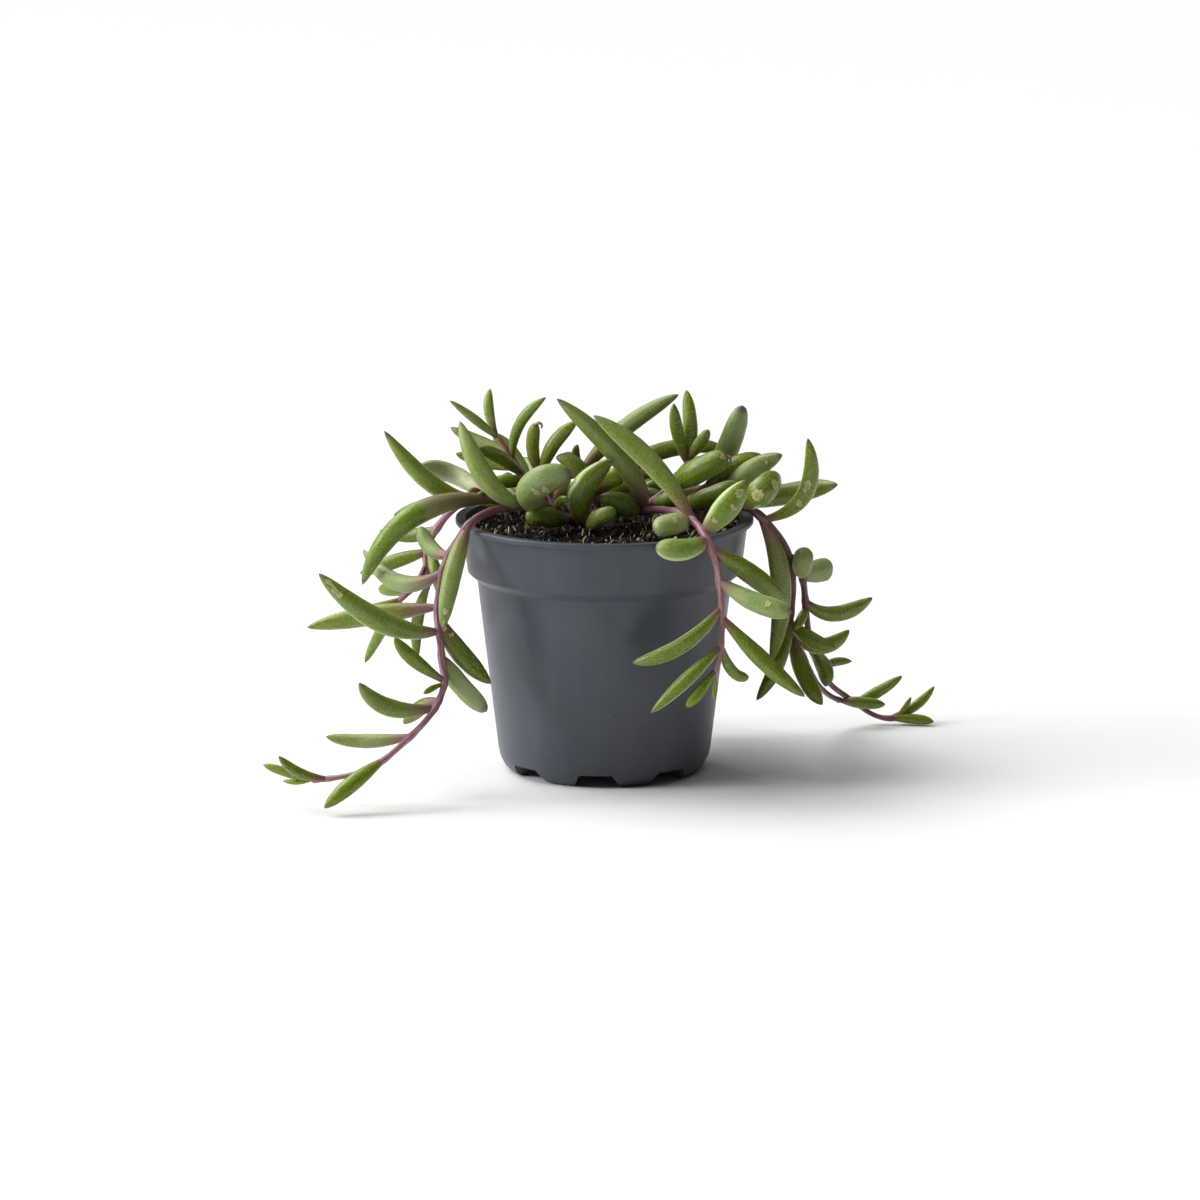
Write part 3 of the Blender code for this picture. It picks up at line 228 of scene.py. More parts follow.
def link(tree, shader, **looks):
    """Links what changes over the surface to the shader's sockets."""
    for key, value in looks.items():
        tree.links.new(value, shader.inputs[key.replace("_", " ")])


def moulded_plastic():
    """Satin polypropylene: a fine mould grain, faint upright flow marks, dust and a few scuffs."""
    made, tree, shader = new_material("pot_plastic", Specular_IOR_Level=0.42)
    place = node(tree, "ShaderNodeTexCoord").outputs["Object"]
    flow = clouds(tree, stretch(tree, place, 1.0, 1.0, 0.12), 140.0, 2.0)
    patches = clouds(tree, place, 38.0, 4.0)
    grain = clouds(tree, place, 2600.0, 2.0)
    scuffs = ease(tree, clouds(tree, stretch(tree, place, 0.5, 0.5, 2.6), 260.0, 5.0), 0.66, 0.74)
    dust = specks(tree, place, 620.0, 0.11, 0.02)
    grey = paint(*POT_GREY)
    darker = tuple(c * POT_SHADE for c in grey[:3]) + (1.0,)
    tone = coated(
        tree, darker,
        (ease(tree, flow, 0.3, 0.7), grey),
        (ease(tree, patches, 0.35, 0.75, 0.0, 0.2), paint(*POT_WORN)),
        (times(tree, scuffs, 0.12), paint(*POT_SCUFF)),
        (times(tree, dust, 0.4), paint(*POT_DUST)),
    )
    worn = plus(tree, times(tree, patches, 0.7), scuffs)
    roughness = ease(tree, worn, 0.1, 1.2, 0.36, 0.62)
    normal = bump(tree, flow, 0.1, 0.0004, bump(tree, grain, 0.12, 0.00012))
    link(tree, shader, Base_Color=tone, Roughness=roughness, Normal=normal)
    return made


def soften(corners, reach=0.35, steps=4):
    """The outline with each corner turned into a small curve that starts reach before it."""
    line = [corners[0]]
    for before, corner, after in zip(corners, corners[1:], corners[2:]):
        p, q, r = Vector(before), Vector(corner), Vector(after)
        cut = min(reach, (q - p).length * 0.45, (r - q).length * 0.45)
        start, end = q + (p - q).normalized() * cut, q + (r - q).normalized() * cut
        for k in range(steps + 1):
            t = k / steps
            line.append(tuple(start * (1 - t) ** 2 + q * (2 * t * (1 - t)) + end * t**2))
    line.append(corners[-1])
    return line


def turned(bm, profile, count, shape=None):
    """A turned solid: profile is (radius, height) from the axis round to the axis again."""
    rows = []
    for row, (radius, height) in enumerate(profile):
        if radius == 0:
            rows.append([bm.verts.new((0.0, 0.0, height))])
            continue
        angles = [2 * math.pi * i / count for i in range(count)]
        places = [Vector((radius * math.cos(a), radius * math.sin(a), height)) for a in angles]
        rows.append([bm.verts.new(shape(row, p) if shape else p) for p in places])
    for a, b in zip(rows, rows[1:]):
        for i in range(count):
            j = (i + 1) % count
            if len(a) == 1:
                bm.faces.new((a[0], b[j], b[i]))
            elif len(b) == 1:
                bm.faces.new((a[i], a[j], b[0]))
            else:
                bm.faces.new((a[i], a[j], b[j], b[i]))


def new_piece(name, bm, *finishes):
    """An object from a bmesh in millimetres."""
    mesh = bpy.data.meshes.new(name)
    bmesh.ops.scale(bm, vec=(MM, MM, MM), verts=bm.verts)
    bm.to_mesh(mesh)
    bm.free()
    for finish in finishes:
        mesh.materials.append(finish)
    made = bpy.data.objects.new(name, mesh)
    bpy.context.scene.collection.objects.link(made)
    return made


def bake_shape(piece):
    """Turns the piece's modifiers into its mesh."""
    bpy.context.view_layer.update()
    graph = bpy.context.evaluated_depsgraph_get()
    shaped = bpy.data.meshes.new_from_object(piece.evaluated_get(graph))
    piece.modifiers.clear()
    piece.data = shaped


def inner_radius(height):
    """The radius of the pot's inside at a height."""
    marks = [
        (BODY_BOTTOM_HEIGHT, BODY_BOTTOM_RADIUS),
        (POT_HEIGHT - CHAMFER_DROP, BODY_TOP_RADIUS),
        (POT_HEIGHT - COLLAR_DROP, COLLAR_BOTTOM_RADIUS),
        (POT_HEIGHT, COLLAR_TOP_RADIUS),
    ]
    for (z0, r0), (z1, r1) in zip(marks, marks[1:]):
        if height <= z1:
            return r0 + (r1 - r0) * max(height - z0, 0.0) / (z1 - z0) - POT_WALL
    return COLLAR_TOP_RADIUS - POT_WALL


def pot_profile():
    """The outline of the pot's wall: base plate, foot, outside, rim, inside, base plate."""
    rim, plate_top = POT_HEIGHT, FLOOR_RECESS + POT_WALL
    foot_inside = FOOT_RADIUS - FOOT_WALL
    inner_low = inner_radius(BODY_BOTTOM_HEIGHT)
    return [
        (0, FLOOR_RECESS),
        (foot_inside, FLOOR_RECESS),
        (foot_inside, 0.0),
        (FOOT_RADIUS, 0.0),
        (FOOT_RADIUS + FOOT_CHAMFER[0], FOOT_CHAMFER[1]),
        (BODY_BOTTOM_RADIUS - HEEL_STEP, HEEL_HEIGHT),
        (BODY_BOTTOM_RADIUS - HEEL_TOP[0], BODY_BOTTOM_HEIGHT - HEEL_TOP[1]),
        (BODY_BOTTOM_RADIUS, BODY_BOTTOM_HEIGHT),
        (BODY_TOP_RADIUS, rim - CHAMFER_DROP),
        (COLLAR_BOTTOM_RADIUS, rim - COLLAR_DROP),
        (COLLAR_TOP_RADIUS, rim - LIP_HEIGHT - LIP_SLOPE),
        (LIP_RADIUS, rim - LIP_HEIGHT),
        (LIP_RADIUS, rim),
        (inner_radius(rim), rim),
        (inner_radius(rim - COLLAR_DROP), rim - COLLAR_DROP),
        (inner_radius(rim - CHAMFER_DROP), rim - CHAMFER_DROP),
        (inner_low, plate_top + INNER_CHAMFER[1]),
        (inner_low - INNER_CHAMFER[0], plate_top),
        (0, plate_top),
    ]


def cut_from(piece, cutters):
    """Cuts the cutters from the piece, and removes them."""
    group = bpy.data.collections.new("cutters")
    bpy.context.scene.collection.children.link(group)
    for cutter in cutters:
        bpy.context.scene.collection.objects.unlink(cutter)
        group.objects.link(cutter)
    change = piece.modifiers.new("cut", "BOOLEAN")
    change.operation = "DIFFERENCE"
    change.operand_type = "COLLECTION"
    change.collection = group
    bake_shape(piece)
    for cutter in cutters:
        bpy.data.objects.remove(cutter)
    bpy.data.collections.remove(group)


def notch_cutter(turn):
    """The gap between two feet: a wedge through the foot's wall, narrower at its top."""
    bm = bmesh.new()
    inner, outer = FOOT_RADIUS - 2 * FOOT_WALL, FOOT_RADIUS + 4 * FOOT_WALL
    corners = []
    for z, span in ((-1.0, NOTCH_ANGLE + NOTCH_SPREAD), (NOTCH_HEIGHT, NOTCH_TOP_ANGLE)):
        for radius, side in ((inner, -1), (outer, -1), (outer, 1), (inner, 1)):
            angle = turn + side * math.radians(span / 2)
            corners.append(bm.verts.new((radius * math.cos(angle), radius * math.sin(angle), z)))
    for i in range(4):
        j = (i + 1) % 4
        bm.faces.new((corners[i], corners[j], corners[4 + j], corners[4 + i]))
    bm.faces.new(list(reversed(corners[:4])))
    bm.faces.new(corners[4:])
    bmesh.ops.recalc_face_normals(bm, faces=bm.faces)
    return new_piece("notch", bm)


def drain_cutter(turn):
    """A drain hole in the base plate."""
    bm = bmesh.new()
    place = Matrix.Translation((DRAIN_RING * math.cos(turn), DRAIN_RING * math.sin(turn), FLOOR_RECESS))
    bmesh.ops.create_cone(
        bm, cap_ends=True, segments=DRAIN_SIDES, radius1=DRAIN_RADIUS, radius2=DRAIN_RADIUS,
        depth=DRAIN_DEPTH, matrix=place,
    )
    return new_piece("drain", bm)


bm = bmesh.new()
turned(bm, soften(pot_profile()), POT_SIDES)
pot = new_piece("nursery_pot", bm, moulded_plastic())
first_notch = FOOT_TURN - 90 + 180 / FEET
cutters = [notch_cutter(math.radians(first_notch + 360 * i / FEET)) for i in range(FEET)]
cutters += [drain_cutter(2 * math.pi * i / DRAIN_HOLES) for i in range(DRAIN_HOLES)]
cut_from(pot, cutters)
pot.data.shade_smooth()
pot.data.set_sharp_from_angle(angle=math.radians(SHARP_ANGLE))
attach(pot, "root")
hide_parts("pot")

# The peat: dark, damp and loose, filled to just under the rim. Its top is raised from fine
# noise, and crumbs of the same peat lie on it, scattered by geometry nodes.

SOIL_HEIGHT = 76.0
SOIL_GAP = 0.45              # between the peat's side and the pot
SOIL_LIFT = 2.0              # from the base plate up to the peat's underside
SOIL_SHOULDER = 1.5          # from its top down to where its side ends
SOIL_EDGE = 42.0             # radius that its loose surface reaches
SOIL_HEAP = 0.9              # how much higher it is in the middle
SOIL_SINK = 0.2              # how much it has settled
SOIL_RINGS = 44
SOIL_SIDES = 176
PEAT_BROWN = (30, 23, 19)
PEAT_FLAKE = (66, 52, 40)
PEAT_WETNESS = 0.45          # how bright wet peat is, next to dry


def peat_finish(name, light):
    """Peat from nearly black where it is wet to brown where it has dried; light lifts it all."""
    made, tree, shader = new_material(name, Roughness=0.93, Specular_IOR_Level=0.25)
    place = node(tree, "ShaderNodeTexCoord").outputs["Object"]
    damp = ease(tree, clouds(tree, place, 90.0, 5.0), 0.36, 0.66)
    bits = clouds(tree, place, 900.0, 4.0, 0.7)
    wet = paint(*(c * PEAT_WETNESS * light for c in PEAT_BROWN))
    dry, flake = (paint(*(c * light for c in colour)) for colour in (PEAT_BROWN, PEAT_FLAKE))
    tone = coated(tree, wet, (damp, dry), (ease(tree, bits, 0.6, 0.76, 0.0, 0.55), flake))
    link(tree, shader, Base_Color=tone, Normal=bump(tree, bits, 0.9, 0.0007))
    return made


def soil_top(place):
    """The height of the loose surface over a place: lumps, crumbs and a slight heap in the middle."""
    here = Vector((place.x, place.y, 0.0))
    rise = 1.0 * noise.fractal(here * 0.11, 1.0, 2.0, 3)
    rise += 0.95 * noise.fractal(here * 0.42 + Vector((7.0, 0.0, 3.0)), 0.8, 2.1, 4)
    return rise + SOIL_HEAP * (1 - (here.length / SOIL_EDGE) ** 2) - SOIL_SINK


def build_soil():
    """The peat as one solid, with a loose top."""
    low = FLOOR_RECESS + POT_WALL + SOIL_LIFT
    side = [low, POT_HEIGHT - CHAMFER_DROP, POT_HEIGHT - COLLAR_DROP, SOIL_HEIGHT - SOIL_SHOULDER]
    profile = [(0, low)] + [(inner_radius(z) - SOIL_GAP, z) for z in side]
    first_top = len(profile)
    outermost = inner_radius(SOIL_HEIGHT) - SOIL_GAP
    profile += [(outermost * (1 - k / SOIL_RINGS), SOIL_HEIGHT) for k in range(SOIL_RINGS)]
    profile.append((0, SOIL_HEIGHT))

    def crumble(row, place):
        if row >= first_top:
            place.z += soil_top(place)
        return place

    bm = bmesh.new()
    turned(bm, profile, SOIL_SIDES, crumble)
    return new_piece("peat_fill", bm, peat_finish("peat", 1.0))


soil = build_soil()
soil.data.shade_smooth()
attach(soil, "root")
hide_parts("soil")


def moved_and_finished(tree, shape, direction, distance, finish):
    """The shape, moved at each point by distance along direction, smooth, with its material."""
    inputs = {0: direction, "Scale": distance}
    shift = node(tree, "ShaderNodeVectorMath", inputs, operation="SCALE").outputs[0]
    moved = node(tree, "GeometryNodeSetPosition", {"Geometry": shape, "Offset": shift}).outputs[0]
    smooth = node(tree, "GeometryNodeSetShadeSmooth", {"Geometry": moved}).outputs[0]
    inputs = {"Geometry": smooth, "Material": finish}
    return node(tree, "GeometryNodeSetMaterial", inputs).outputs[0]


def scatter_tree(name, shape):
    """Geometry nodes that scatter copies of a shape over a surface, each turned, sized and then
    dented in its own way. shape adds its nodes to the tree and returns the copy's geometry."""
    tree, given = new_tree(
        name, "GeometryNodeTree",
        {
            "Surface": "Geometry", "Density": 1000.0, "Smallest": 0.5, "Largest": 1.0,
            "Lean": 3.1, "Dents": 0.0003, "Seed": 1, "Finish": "Material",
        },
        "Pieces", "Geometry",
    )
    seed, lean = given["Seed"], given["Lean"]
    points = node(
        tree, "GeometryNodeDistributePointsOnFaces",
        {"Mesh": given["Surface"], "Density": given["Density"], "Seed": seed},
    )
    other_way = times(tree, lean, -1.0)
    least = node(tree, "ShaderNodeCombineXYZ", {0: other_way, 1: other_way})
    most = node(tree, "ShaderNodeCombineXYZ", {0: lean, 1: lean, 2: 2 * math.pi})
    turn = node(
        tree, "FunctionNodeRandomValue",
        {0: least.outputs[0], 1: most.outputs[0], "Seed": seed}, data_type="FLOAT_VECTOR",
    )
    size = node(
        tree, "FunctionNodeRandomValue",
        {2: given["Smallest"], 3: given["Largest"], "Seed": plus(tree, seed, 5.0)},
        data_type="FLOAT",
    )
    turned_by = node(tree, "FunctionNodeEulerToRotation", {0: turn.outputs[0]})
    copies = node(
        tree, "GeometryNodeInstanceOnPoints",
        {
            "Points": points.outputs["Points"], "Instance": shape(tree),
            "Rotation": turned_by.outputs[0], "Scale": size.outputs[1],
        },
    )
    real = node(tree, "GeometryNodeRealizeInstances", {"Geometry": copies.outputs[0]})
    place = node(tree, "GeometryNodeInputPosition").outputs[0]
    dents = node(tree, "ShaderNodeTexNoise", {"Vector": place, "Scale": 900.0, "Detail": 1.0})
    centred = node(
        tree, "ShaderNodeVectorMath", {0: dents.outputs["Color"], 1: (0.5, 0.5, 0.5)},
        operation="SUBTRACT",
    )
    made = moved_and_finished(
        tree, real.outputs[0], centred.outputs[0], given["Dents"], given["Finish"]
    )
    node(tree, "NodeGroupOutput", {"Pieces": made})
    return tree


def crumb_shape(tree):
    return node(tree, "GeometryNodeMeshIcoSphere", {"Radius": MM, "Subdivisions": 2}).outputs["Mesh"]


def set_inputs(change, tree, values):
    """Sets a modifier's inputs, which are kept under their sockets' identifiers."""
    for item in tree.interface.items_tree:
        if item.item_type == "SOCKET" and item.in_out == "INPUT" and item.name in values:
            change[item.identifier] = values[item.name]


def scatter(name, tree, near, far, **values):
    """A piece made of what the tree scatters over the peat's top, from radius near to far."""
    bm = bmesh.new()
    rings = [
        [
            bm.verts.new((r * math.cos(a), r * math.sin(a), 0.0))
            for a in (2 * math.pi * i / SOIL_SIDES for i in range(SOIL_SIDES))
        ]
        for r in (near + (far - near) * k / SOIL_RINGS for k in range(SOIL_RINGS + 1))
    ]
    for a, b in zip(rings, rings[1:]):
        for i in range(SOIL_SIDES):
            j = (i + 1) % SOIL_SIDES
            bm.faces.new((a[i], b[i], b[j], a[j]))
    for corner in bm.verts:
        corner.co.z = SOIL_HEIGHT + soil_top(corner.co)
    piece = new_piece(name, bm)
    change = piece.modifiers.new("scatter", "NODES")
    change.node_group = tree
    set_inputs(change, tree, values)
    bake_shape(piece)
    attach(piece, "root")
    return piece


CRUMBS = scatter_tree("scattered crumbs", crumb_shape)
scatter(
    "peat_crumbs", CRUMBS, 2.0, SOIL_EDGE, Density=330000.0, Smallest=0.28, Largest=1.0, Lean=3.1,
    Dents=0.0011, Seed=4, Finish=peat_finish("peat_crumb", 1.25),
)

# What lies in the peat: pale bits of grit, short straw-coloured fibres that stick out of it, and
# brown ones that lie flatter. They are scattered over its top as the crumbs are.

STRAW_RADIUS = 0.26


def pale_finish(name, light, dark):
    """Dry grit or fibre, patched with a darker tone."""
    made, tree, shader = new_material(name, Roughness=0.8, Specular_IOR_Level=0.3)
    place = node(tree, "ShaderNodeTexCoord").outputs["Object"]
    patches = ease(tree, clouds(tree, place, 420.0, 3.0), 0.35, 0.65)
    tone = mix(tree, patches, paint(*dark), paint(*light))
    link(tree, shader, Base_Color=tone, Normal=bump(tree, clouds(tree, place, 2400.0), 0.5, 0.0003))
    return made


def fibre_shape(tree):
    """A short bent straw, thick at its foot."""
    line = node(
        tree, "GeometryNodeCurveQuadraticBezier",
        {
            "Resolution": 5, "Start": (0, 0, -0.5 * MM), "Middle": (0.3 * MM, 0, 0.8 * MM),
            "End": (-0.1 * MM, 0.2 * MM, 1.7 * MM),
        },
    )
    rim = node(tree, "GeometryNodeCurvePrimitiveCircle", {"Resolution": 6, "Radius": STRAW_RADIUS * MM})
    along = node(tree, "GeometryNodeSplineParameter").outputs["Factor"]
    return node(
        tree, "GeometryNodeCurveToMesh",
        {
            "Curve": line.outputs[0], "Profile Curve": rim.outputs[0],
            "Scale": ease(tree, along, 0.0, 1.0, 1.0, 0.4), "Fill Caps": True,
        },
    ).outputs[0]


FIBRES = scatter_tree("scattered fibres", fibre_shape)
scatter(
    "pale_grit", CRUMBS, 8.0, SOIL_EDGE, Density=26000.0, Smallest=0.24, Largest=0.8, Lean=3.1,
    Dents=0.0007, Seed=11, Finish=pale_finish("grit", (214, 204, 176), (150, 132, 104)),
)
scatter(
    "peat_fibres", FIBRES, 14.0, SOIL_EDGE, Density=40000.0, Smallest=0.5, Largest=1.4, Lean=0.7,
    Dents=0.0004, Seed=23, Finish=pale_finish("straw", (236, 224, 190), (176, 150, 110)),
)
scatter(
    "brown_fibres", FIBRES, 8.0, SOIL_EDGE, Density=50000.0, Smallest=0.5, Largest=1.5, Lean=1.8,
    Dents=0.0014, Seed=31, Finish=pale_finish("root_fibre", (86, 66, 48), (44, 33, 25)),
)

# The plant. Each leafy stem grew as one piece: a mauve stem with fat spindle-shaped leaves. What
# follows is how one is drawn. Its stem and leaves are lines, which the sections after it give for
# each stem, as seen from the front: millimetres across, up and behind the pot's axis.

BURIED = 9.0                 # length of stem that stands in the peat
STEM_RISE = 2.2              # a stem is upright that far above the peat
VIEW_TILT = math.radians(11.5)
VIEW_DISTANCE = 2400.0
VIEW_CENTRE_ACROSS = -1.4
VIEW_CENTRE_UP = 51.7
VIEW_ROUNDS = 5              # rounds in which seen() closes in on a point
STEM_PARTS = 8               # parts of each stretch of stem in which a leaf's root is looked for
WIDEST = 0.5                 # where along a leaf it is widest
POINTED_TIP = (2.6, 0.66)    # powers that set how late, and how roundly, a leaf narrows to its tip
BLUNT_TIP = (4.0, 0.52)
FOOT_WIDTH = 0.4             # of a leaf's width, where it leaves the stem
FOOT_CURVE = 1.15            # power that sets how slowly it widens from there
TRAILING_YOUTH = 0.25        # how green a trailing stem's young end is, next to a short shoot's


def shrink(p):
    """How much smaller than at the view's centre a thing at the point is seen."""
    return VIEW_DISTANCE / (
        VIEW_DISTANCE + p.y * math.cos(VIEW_TILT) - p.z * math.sin(VIEW_TILT)
    )


def seen(across, up, behind):
    """The point, in mm, that is seen from the front at (across, up) and is that far behind."""
    p = Vector((across, behind, up))
    for _ in range(VIEW_ROUNDS):
        scale = shrink(p)
        p.x = VIEW_CENTRE_ACROSS + (across - VIEW_CENTRE_ACROSS) / scale
        rise = VIEW_CENTRE_UP + (up - VIEW_CENTRE_UP) / scale
        p.z = (rise - behind * math.sin(VIEW_TILT)) / math.cos(VIEW_TILT)
    return p


def plain(across, up, behind):
    """The point, in mm, for a stem at the back, where up is the true height."""
    return Vector((across, behind, up))


class Leaf:
    """One fat leaf: a bowed spindle from its root on the stem through a middle point to its tip.

    Its looks go from 0 to 1. bloom is the grey waxy coat on it, which on some leaves also
    paints a highlight. blush is how far the purple of its foot reaches, warmth how olive it is, and
    deep how dark, which on a leaf that lies in shade is painted shade. rim is how strong the pale
    line along its margin is, a painted rim highlight. point is how purple its tip is, groove how
    deep the channel along its face is, dull how far up from its foot it has gone brown, and
    faded how pale it is: real fading on some leaves, painted light on a leaf in shade. roll
    turns its face from the eye, in degrees. curl is the radius of the dry strip that is left of a
    broken tip, mm. scars are corky wounds: (share of the length, place across the face, size).
    """

    def __init__(self, root, middle, tip, width, blunt, foot, looks):
        self.root, self.middle, self.tip = root, middle, tip
        self.width, self.blunt, self.foot, self.looks = width, blunt, foot, looks

    def point(self, t):
        return (
            self.root * ((1 - t) * (1 - 2 * t))
            + self.middle * (4 * t * (1 - t))
            + self.tip * (t * (2 * t - 1))
        )

    def half_width(self, t):
        """Half of the leaf's width at t: a narrow foot, the widest place round the middle, the tip."""
        rise = math.sin(min(t / WIDEST, 1.0) * math.pi / 2) ** FOOT_CURVE
        past = max(t - WIDEST, 0.0) / (1 - WIDEST)
        power, roundness = BLUNT_TIP if self.blunt else POINTED_TIP
        share = self.foot + (1 - self.foot) * rise
        return self.width / 2 * share * max(1 - past**power, 0.0) ** roundness

    def length(self):
        return (self.middle - self.root).length + (self.tip - self.middle).length


class Shoot:
    """One leafy stem, with its side branches. colour goes from 0, a pink mauve, to 1, maroon."""

    def __init__(self, name, foot, place=seen, colour=0.4):
        self.name, self.foot, self.place, self.colour = name, foot, place, colour
        self.lines, self.leaves = [], []
        self.chance = random.Random(name)

    def stem(self, radius, tip_radius, route):
        """The main stem: it stands straight in the peat, then follows the route."""
        x, y = self.foot
        start = [Vector((x, y, SOIL_HEIGHT - BURIED)), Vector((x, y, SOIL_HEIGHT + STEM_RISE))]
        self.add_line(start + [self.place(*p) for p in route], radius, tip_radius)

    def branch(self, at, radius, tip_radius, route):
        """A side stem that leaves what grows already at the place seen at (across, up)."""
        self.add_line([self.on_stem(*at)] + [self.place(*p) for p in route], radius, tip_radius)

    def add_line(self, points, radius, tip_radius):
        last = len(points) - 1
        radii = [radius + (tip_radius - radius) * i / last for i in range(last + 1)]
        self.lines.append((points, radii))

    def on_stem(self, across, up):
        """The point on the stems' middle lines that lies nearest to (across, up)."""
        best, found = 1e9, None
        for points, _ in self.lines:
            for a, b in zip(points, points[1:]):
                for step in range(STEM_PARTS + 1):
                    p = a.lerp(b, step / STEM_PARTS)
                    flat = self.flat(p)
                    distance = math.hypot(flat[0] - across, flat[1] - up)
                    if distance < best:
                        best, found = distance, p
        return found

    def youth(self):
        """How green its young end shows: 1 for a short shoot, less for a long stem that trails."""
        return 1.0 if self.name.startswith("shoot") else TRAILING_YOUTH

    def flat(self, p):
        """Where a point is seen: across and up, as this shoot's places are written."""
        if self.place is plain:
            return p.x, p.z
        rise = p.z * math.cos(VIEW_TILT) + p.y * math.sin(VIEW_TILT)
        return (
            VIEW_CENTRE_ACROSS + (p.x - VIEW_CENTRE_ACROSS) * shrink(p),
            VIEW_CENTRE_UP + (rise - VIEW_CENTRE_UP) * shrink(p),
        )

    def leaf(self, root, middle, tip, width, blunt=False, foot=FOOT_WIDTH, **looks):
        """root is (across, up) on the stem, or a place; middle and tip are (across, up, further
        behind than the root)."""
        draw = self.chance.uniform
        # Each leaf gets some pale line along its margins, which is a painted rim highlight, and some
        # grey waxy coat, which is also a painted soft sheen.
        usual = {
            "bloom": draw(0.0, 0.25), "blush": draw(0.14, 0.24),
            "warmth": draw(0.1, 0.45) + 0.4 * self.colour,
            "deep": draw(0.1, 0.5), "rim": draw(0.15, 0.45), "point": draw(0.5, 1.0),
            "groove": draw(0.0, 0.25), "roll": draw(-22.0, 22.0), "dull": 0.0, "faded": 0.0,
            "curl": 0.0, "scars": (),
        }
        start = self.place(*root) if len(root) == 3 else self.on_stem(*root)
        bend, end = (self.place(p[0], p[1], start.y + p[2]) for p in (middle, tip))
        self.leaves.append(Leaf(start, bend, end, width, blunt, foot, {**usual, **looks}))


def front_left_shoot():
    """The long stem that bows over the rim at the front left and trails to the floor."""
    s = Shoot("stem_front_left", (-9.5, -8.0), colour=0.3)
    s.stem(1.45, 0.75, [
        (-12.5, 77.2, -10), (-16.5, 80.2, -12), (-21.5, 81.6, -14), (-27, 80.8, -16),
        (-32.5, 79.9, -18.5), (-37, 78.6, -21), (-41.2, 75.9, -23.5), (-44.6, 71.6, -25.5),
        (-47.6, 67, -26.8), (-49.9, 61.5, -27.8), (-51.2, 55.5, -28.6), (-51.8, 49.5, -29.6),
        (-51.6, 43.5, -30.8), (-50.9, 37.5, -32.8), (-50.4, 31, -36), (-49.7, 26.5, -39.4),
        (-51.2, 21, -44), (-54.5, 15.5, -49), (-59.5, 10, -53.8), (-65, 5, -57.6),
        (-70, 1.0, -60), (-76, -1.8, -60.4), (-83, -3.4, -59.2), (-91, -4.3, -57),
    ])
    # This leaf lies in shade below the stem; its darkness is painted shade.
    s.leaf((-11, 76.4), (-18.2, 77.4, -5), (-24.4, 77.6, -9), 6.6, blunt=True, bloom=0.1, deep=0.7)
    s.leaf((-15, 79), (-13.9, 85, -4), (-10.4, 89.8, -6), 3.2, blush=0.95, warmth=0.9)
    s.leaf((-16, 80), (-13.3, 82.6, -5), (-10.9, 82.2, -8), 2.8)
    s.leaf(
        (-20.3, 79.8, -15.0), (-21.9, 87.0, -8), (-10.2, 91.2, -11), 9.8, blunt=True, foot=0.66,
        bloom=0.8, groove=0.0, point=1.0, roll=12.0, scars=((0.58, 0.1, 0.045), (0.7, -0.4, 0.045)),
    )
    s.leaf((-25, 81.2), (-36.2, 88.6, -2), (-44.9, 107.2, 6), 6.4, bloom=0.6, groove=0.3)
    s.leaf(
        (-42.4, 74.6), (-47.0, 60.5, -8), (-50.3, 42.6, -12), 5.9,
        bloom=0.6, blush=0.3, scars=((0.86, 0.1, 0.03), (0.95, 0.2, 0.035)),
    )
    s.leaf((-48.2, 65.8), (-53.6, 67.6, 6), (-57.3, 74.5, 10), 4.9, blunt=True, bloom=0.75, blush=0.35)
    s.leaf(
        (-50.2, 60.5), (-63.5, 57.0, 11), (-74.9, 67.3, 28), 5.6,
        bloom=0.7, blush=0.34, groove=0.6, faded=0.2,
    )
    s.leaf((-51.8, 49.3), (-71, 47.1, 6), (-92.3, 43.2, 8), 6.2, bloom=0.2, blush=0.36, warmth=0.6)
    s.leaf(
        (-51.4, 41.8), (-69.5, 45.1, -7), (-88.7, 59.9, -9), 6.8,
        bloom=0.3, blush=0.2, scars=((0.86, 0.2, 0.05), (0.93, -0.1, 0.03)),
    )
    s.leaf(
        (-51.6, 46.5), (-45.6, 36.2, -2), (-35.3, 25.7, -4), 6.4,
        scars=((0.17, -0.2, 0.04), (0.29, 0.2, 0.025)), deep=0.6, blush=0.4,
    )
    s.leaf(
        (-50.7, 34.5), (-45.6, 26.2, -4), (-36.6, 17.2, -6), 6.2, blunt=True,
        bloom=0.9, faded=0.4, blush=0.3,
    )
    s.leaf((-49.8, 26.2), (-59.5, 33.4, -4), (-65.2, 40.0, -6), 4.4)
    s.leaf((-50, 25.5), (-53.5, 24.2, -4), (-56.2, 22.6, -6), 1.9)
    s.leaf((-51.8, 20), (-56.8, 18.4, 6), (-62.4, 13.2, 9), 4.8, blush=0.4, warmth=0.5)
    s.leaf((-53, 18), (-67.2, 18.4, -6), (-76.2, 26.0, -9), 5.6, bloom=0.4, blush=0.26)
    s.leaf((-60, 9.6), (-74, 7.9, 6), (-86.5, 9.3, 8), 4.5, bloom=0.6, blush=0.28)
    s.leaf((-69, 1.8), (-78.2, -5.2, -5), (-87.0, -12.9, -9), 5.0)
    s.leaf((-86, -3.8), (-94.6, -2.0, -2), (-101.2, 3.2, -3), 3.4, blush=0.34, warmth=0.5)
    s.leaf((-90, -4.2), (-98.6, -1.9, 1), (-106.0, 0.6, 3), 3.0, warmth=0.5)
    s.leaf((-90.6, -4.3), (-95.5, -4.8, 1), (-100.0, -4.4, 3), 1.8)
    return s


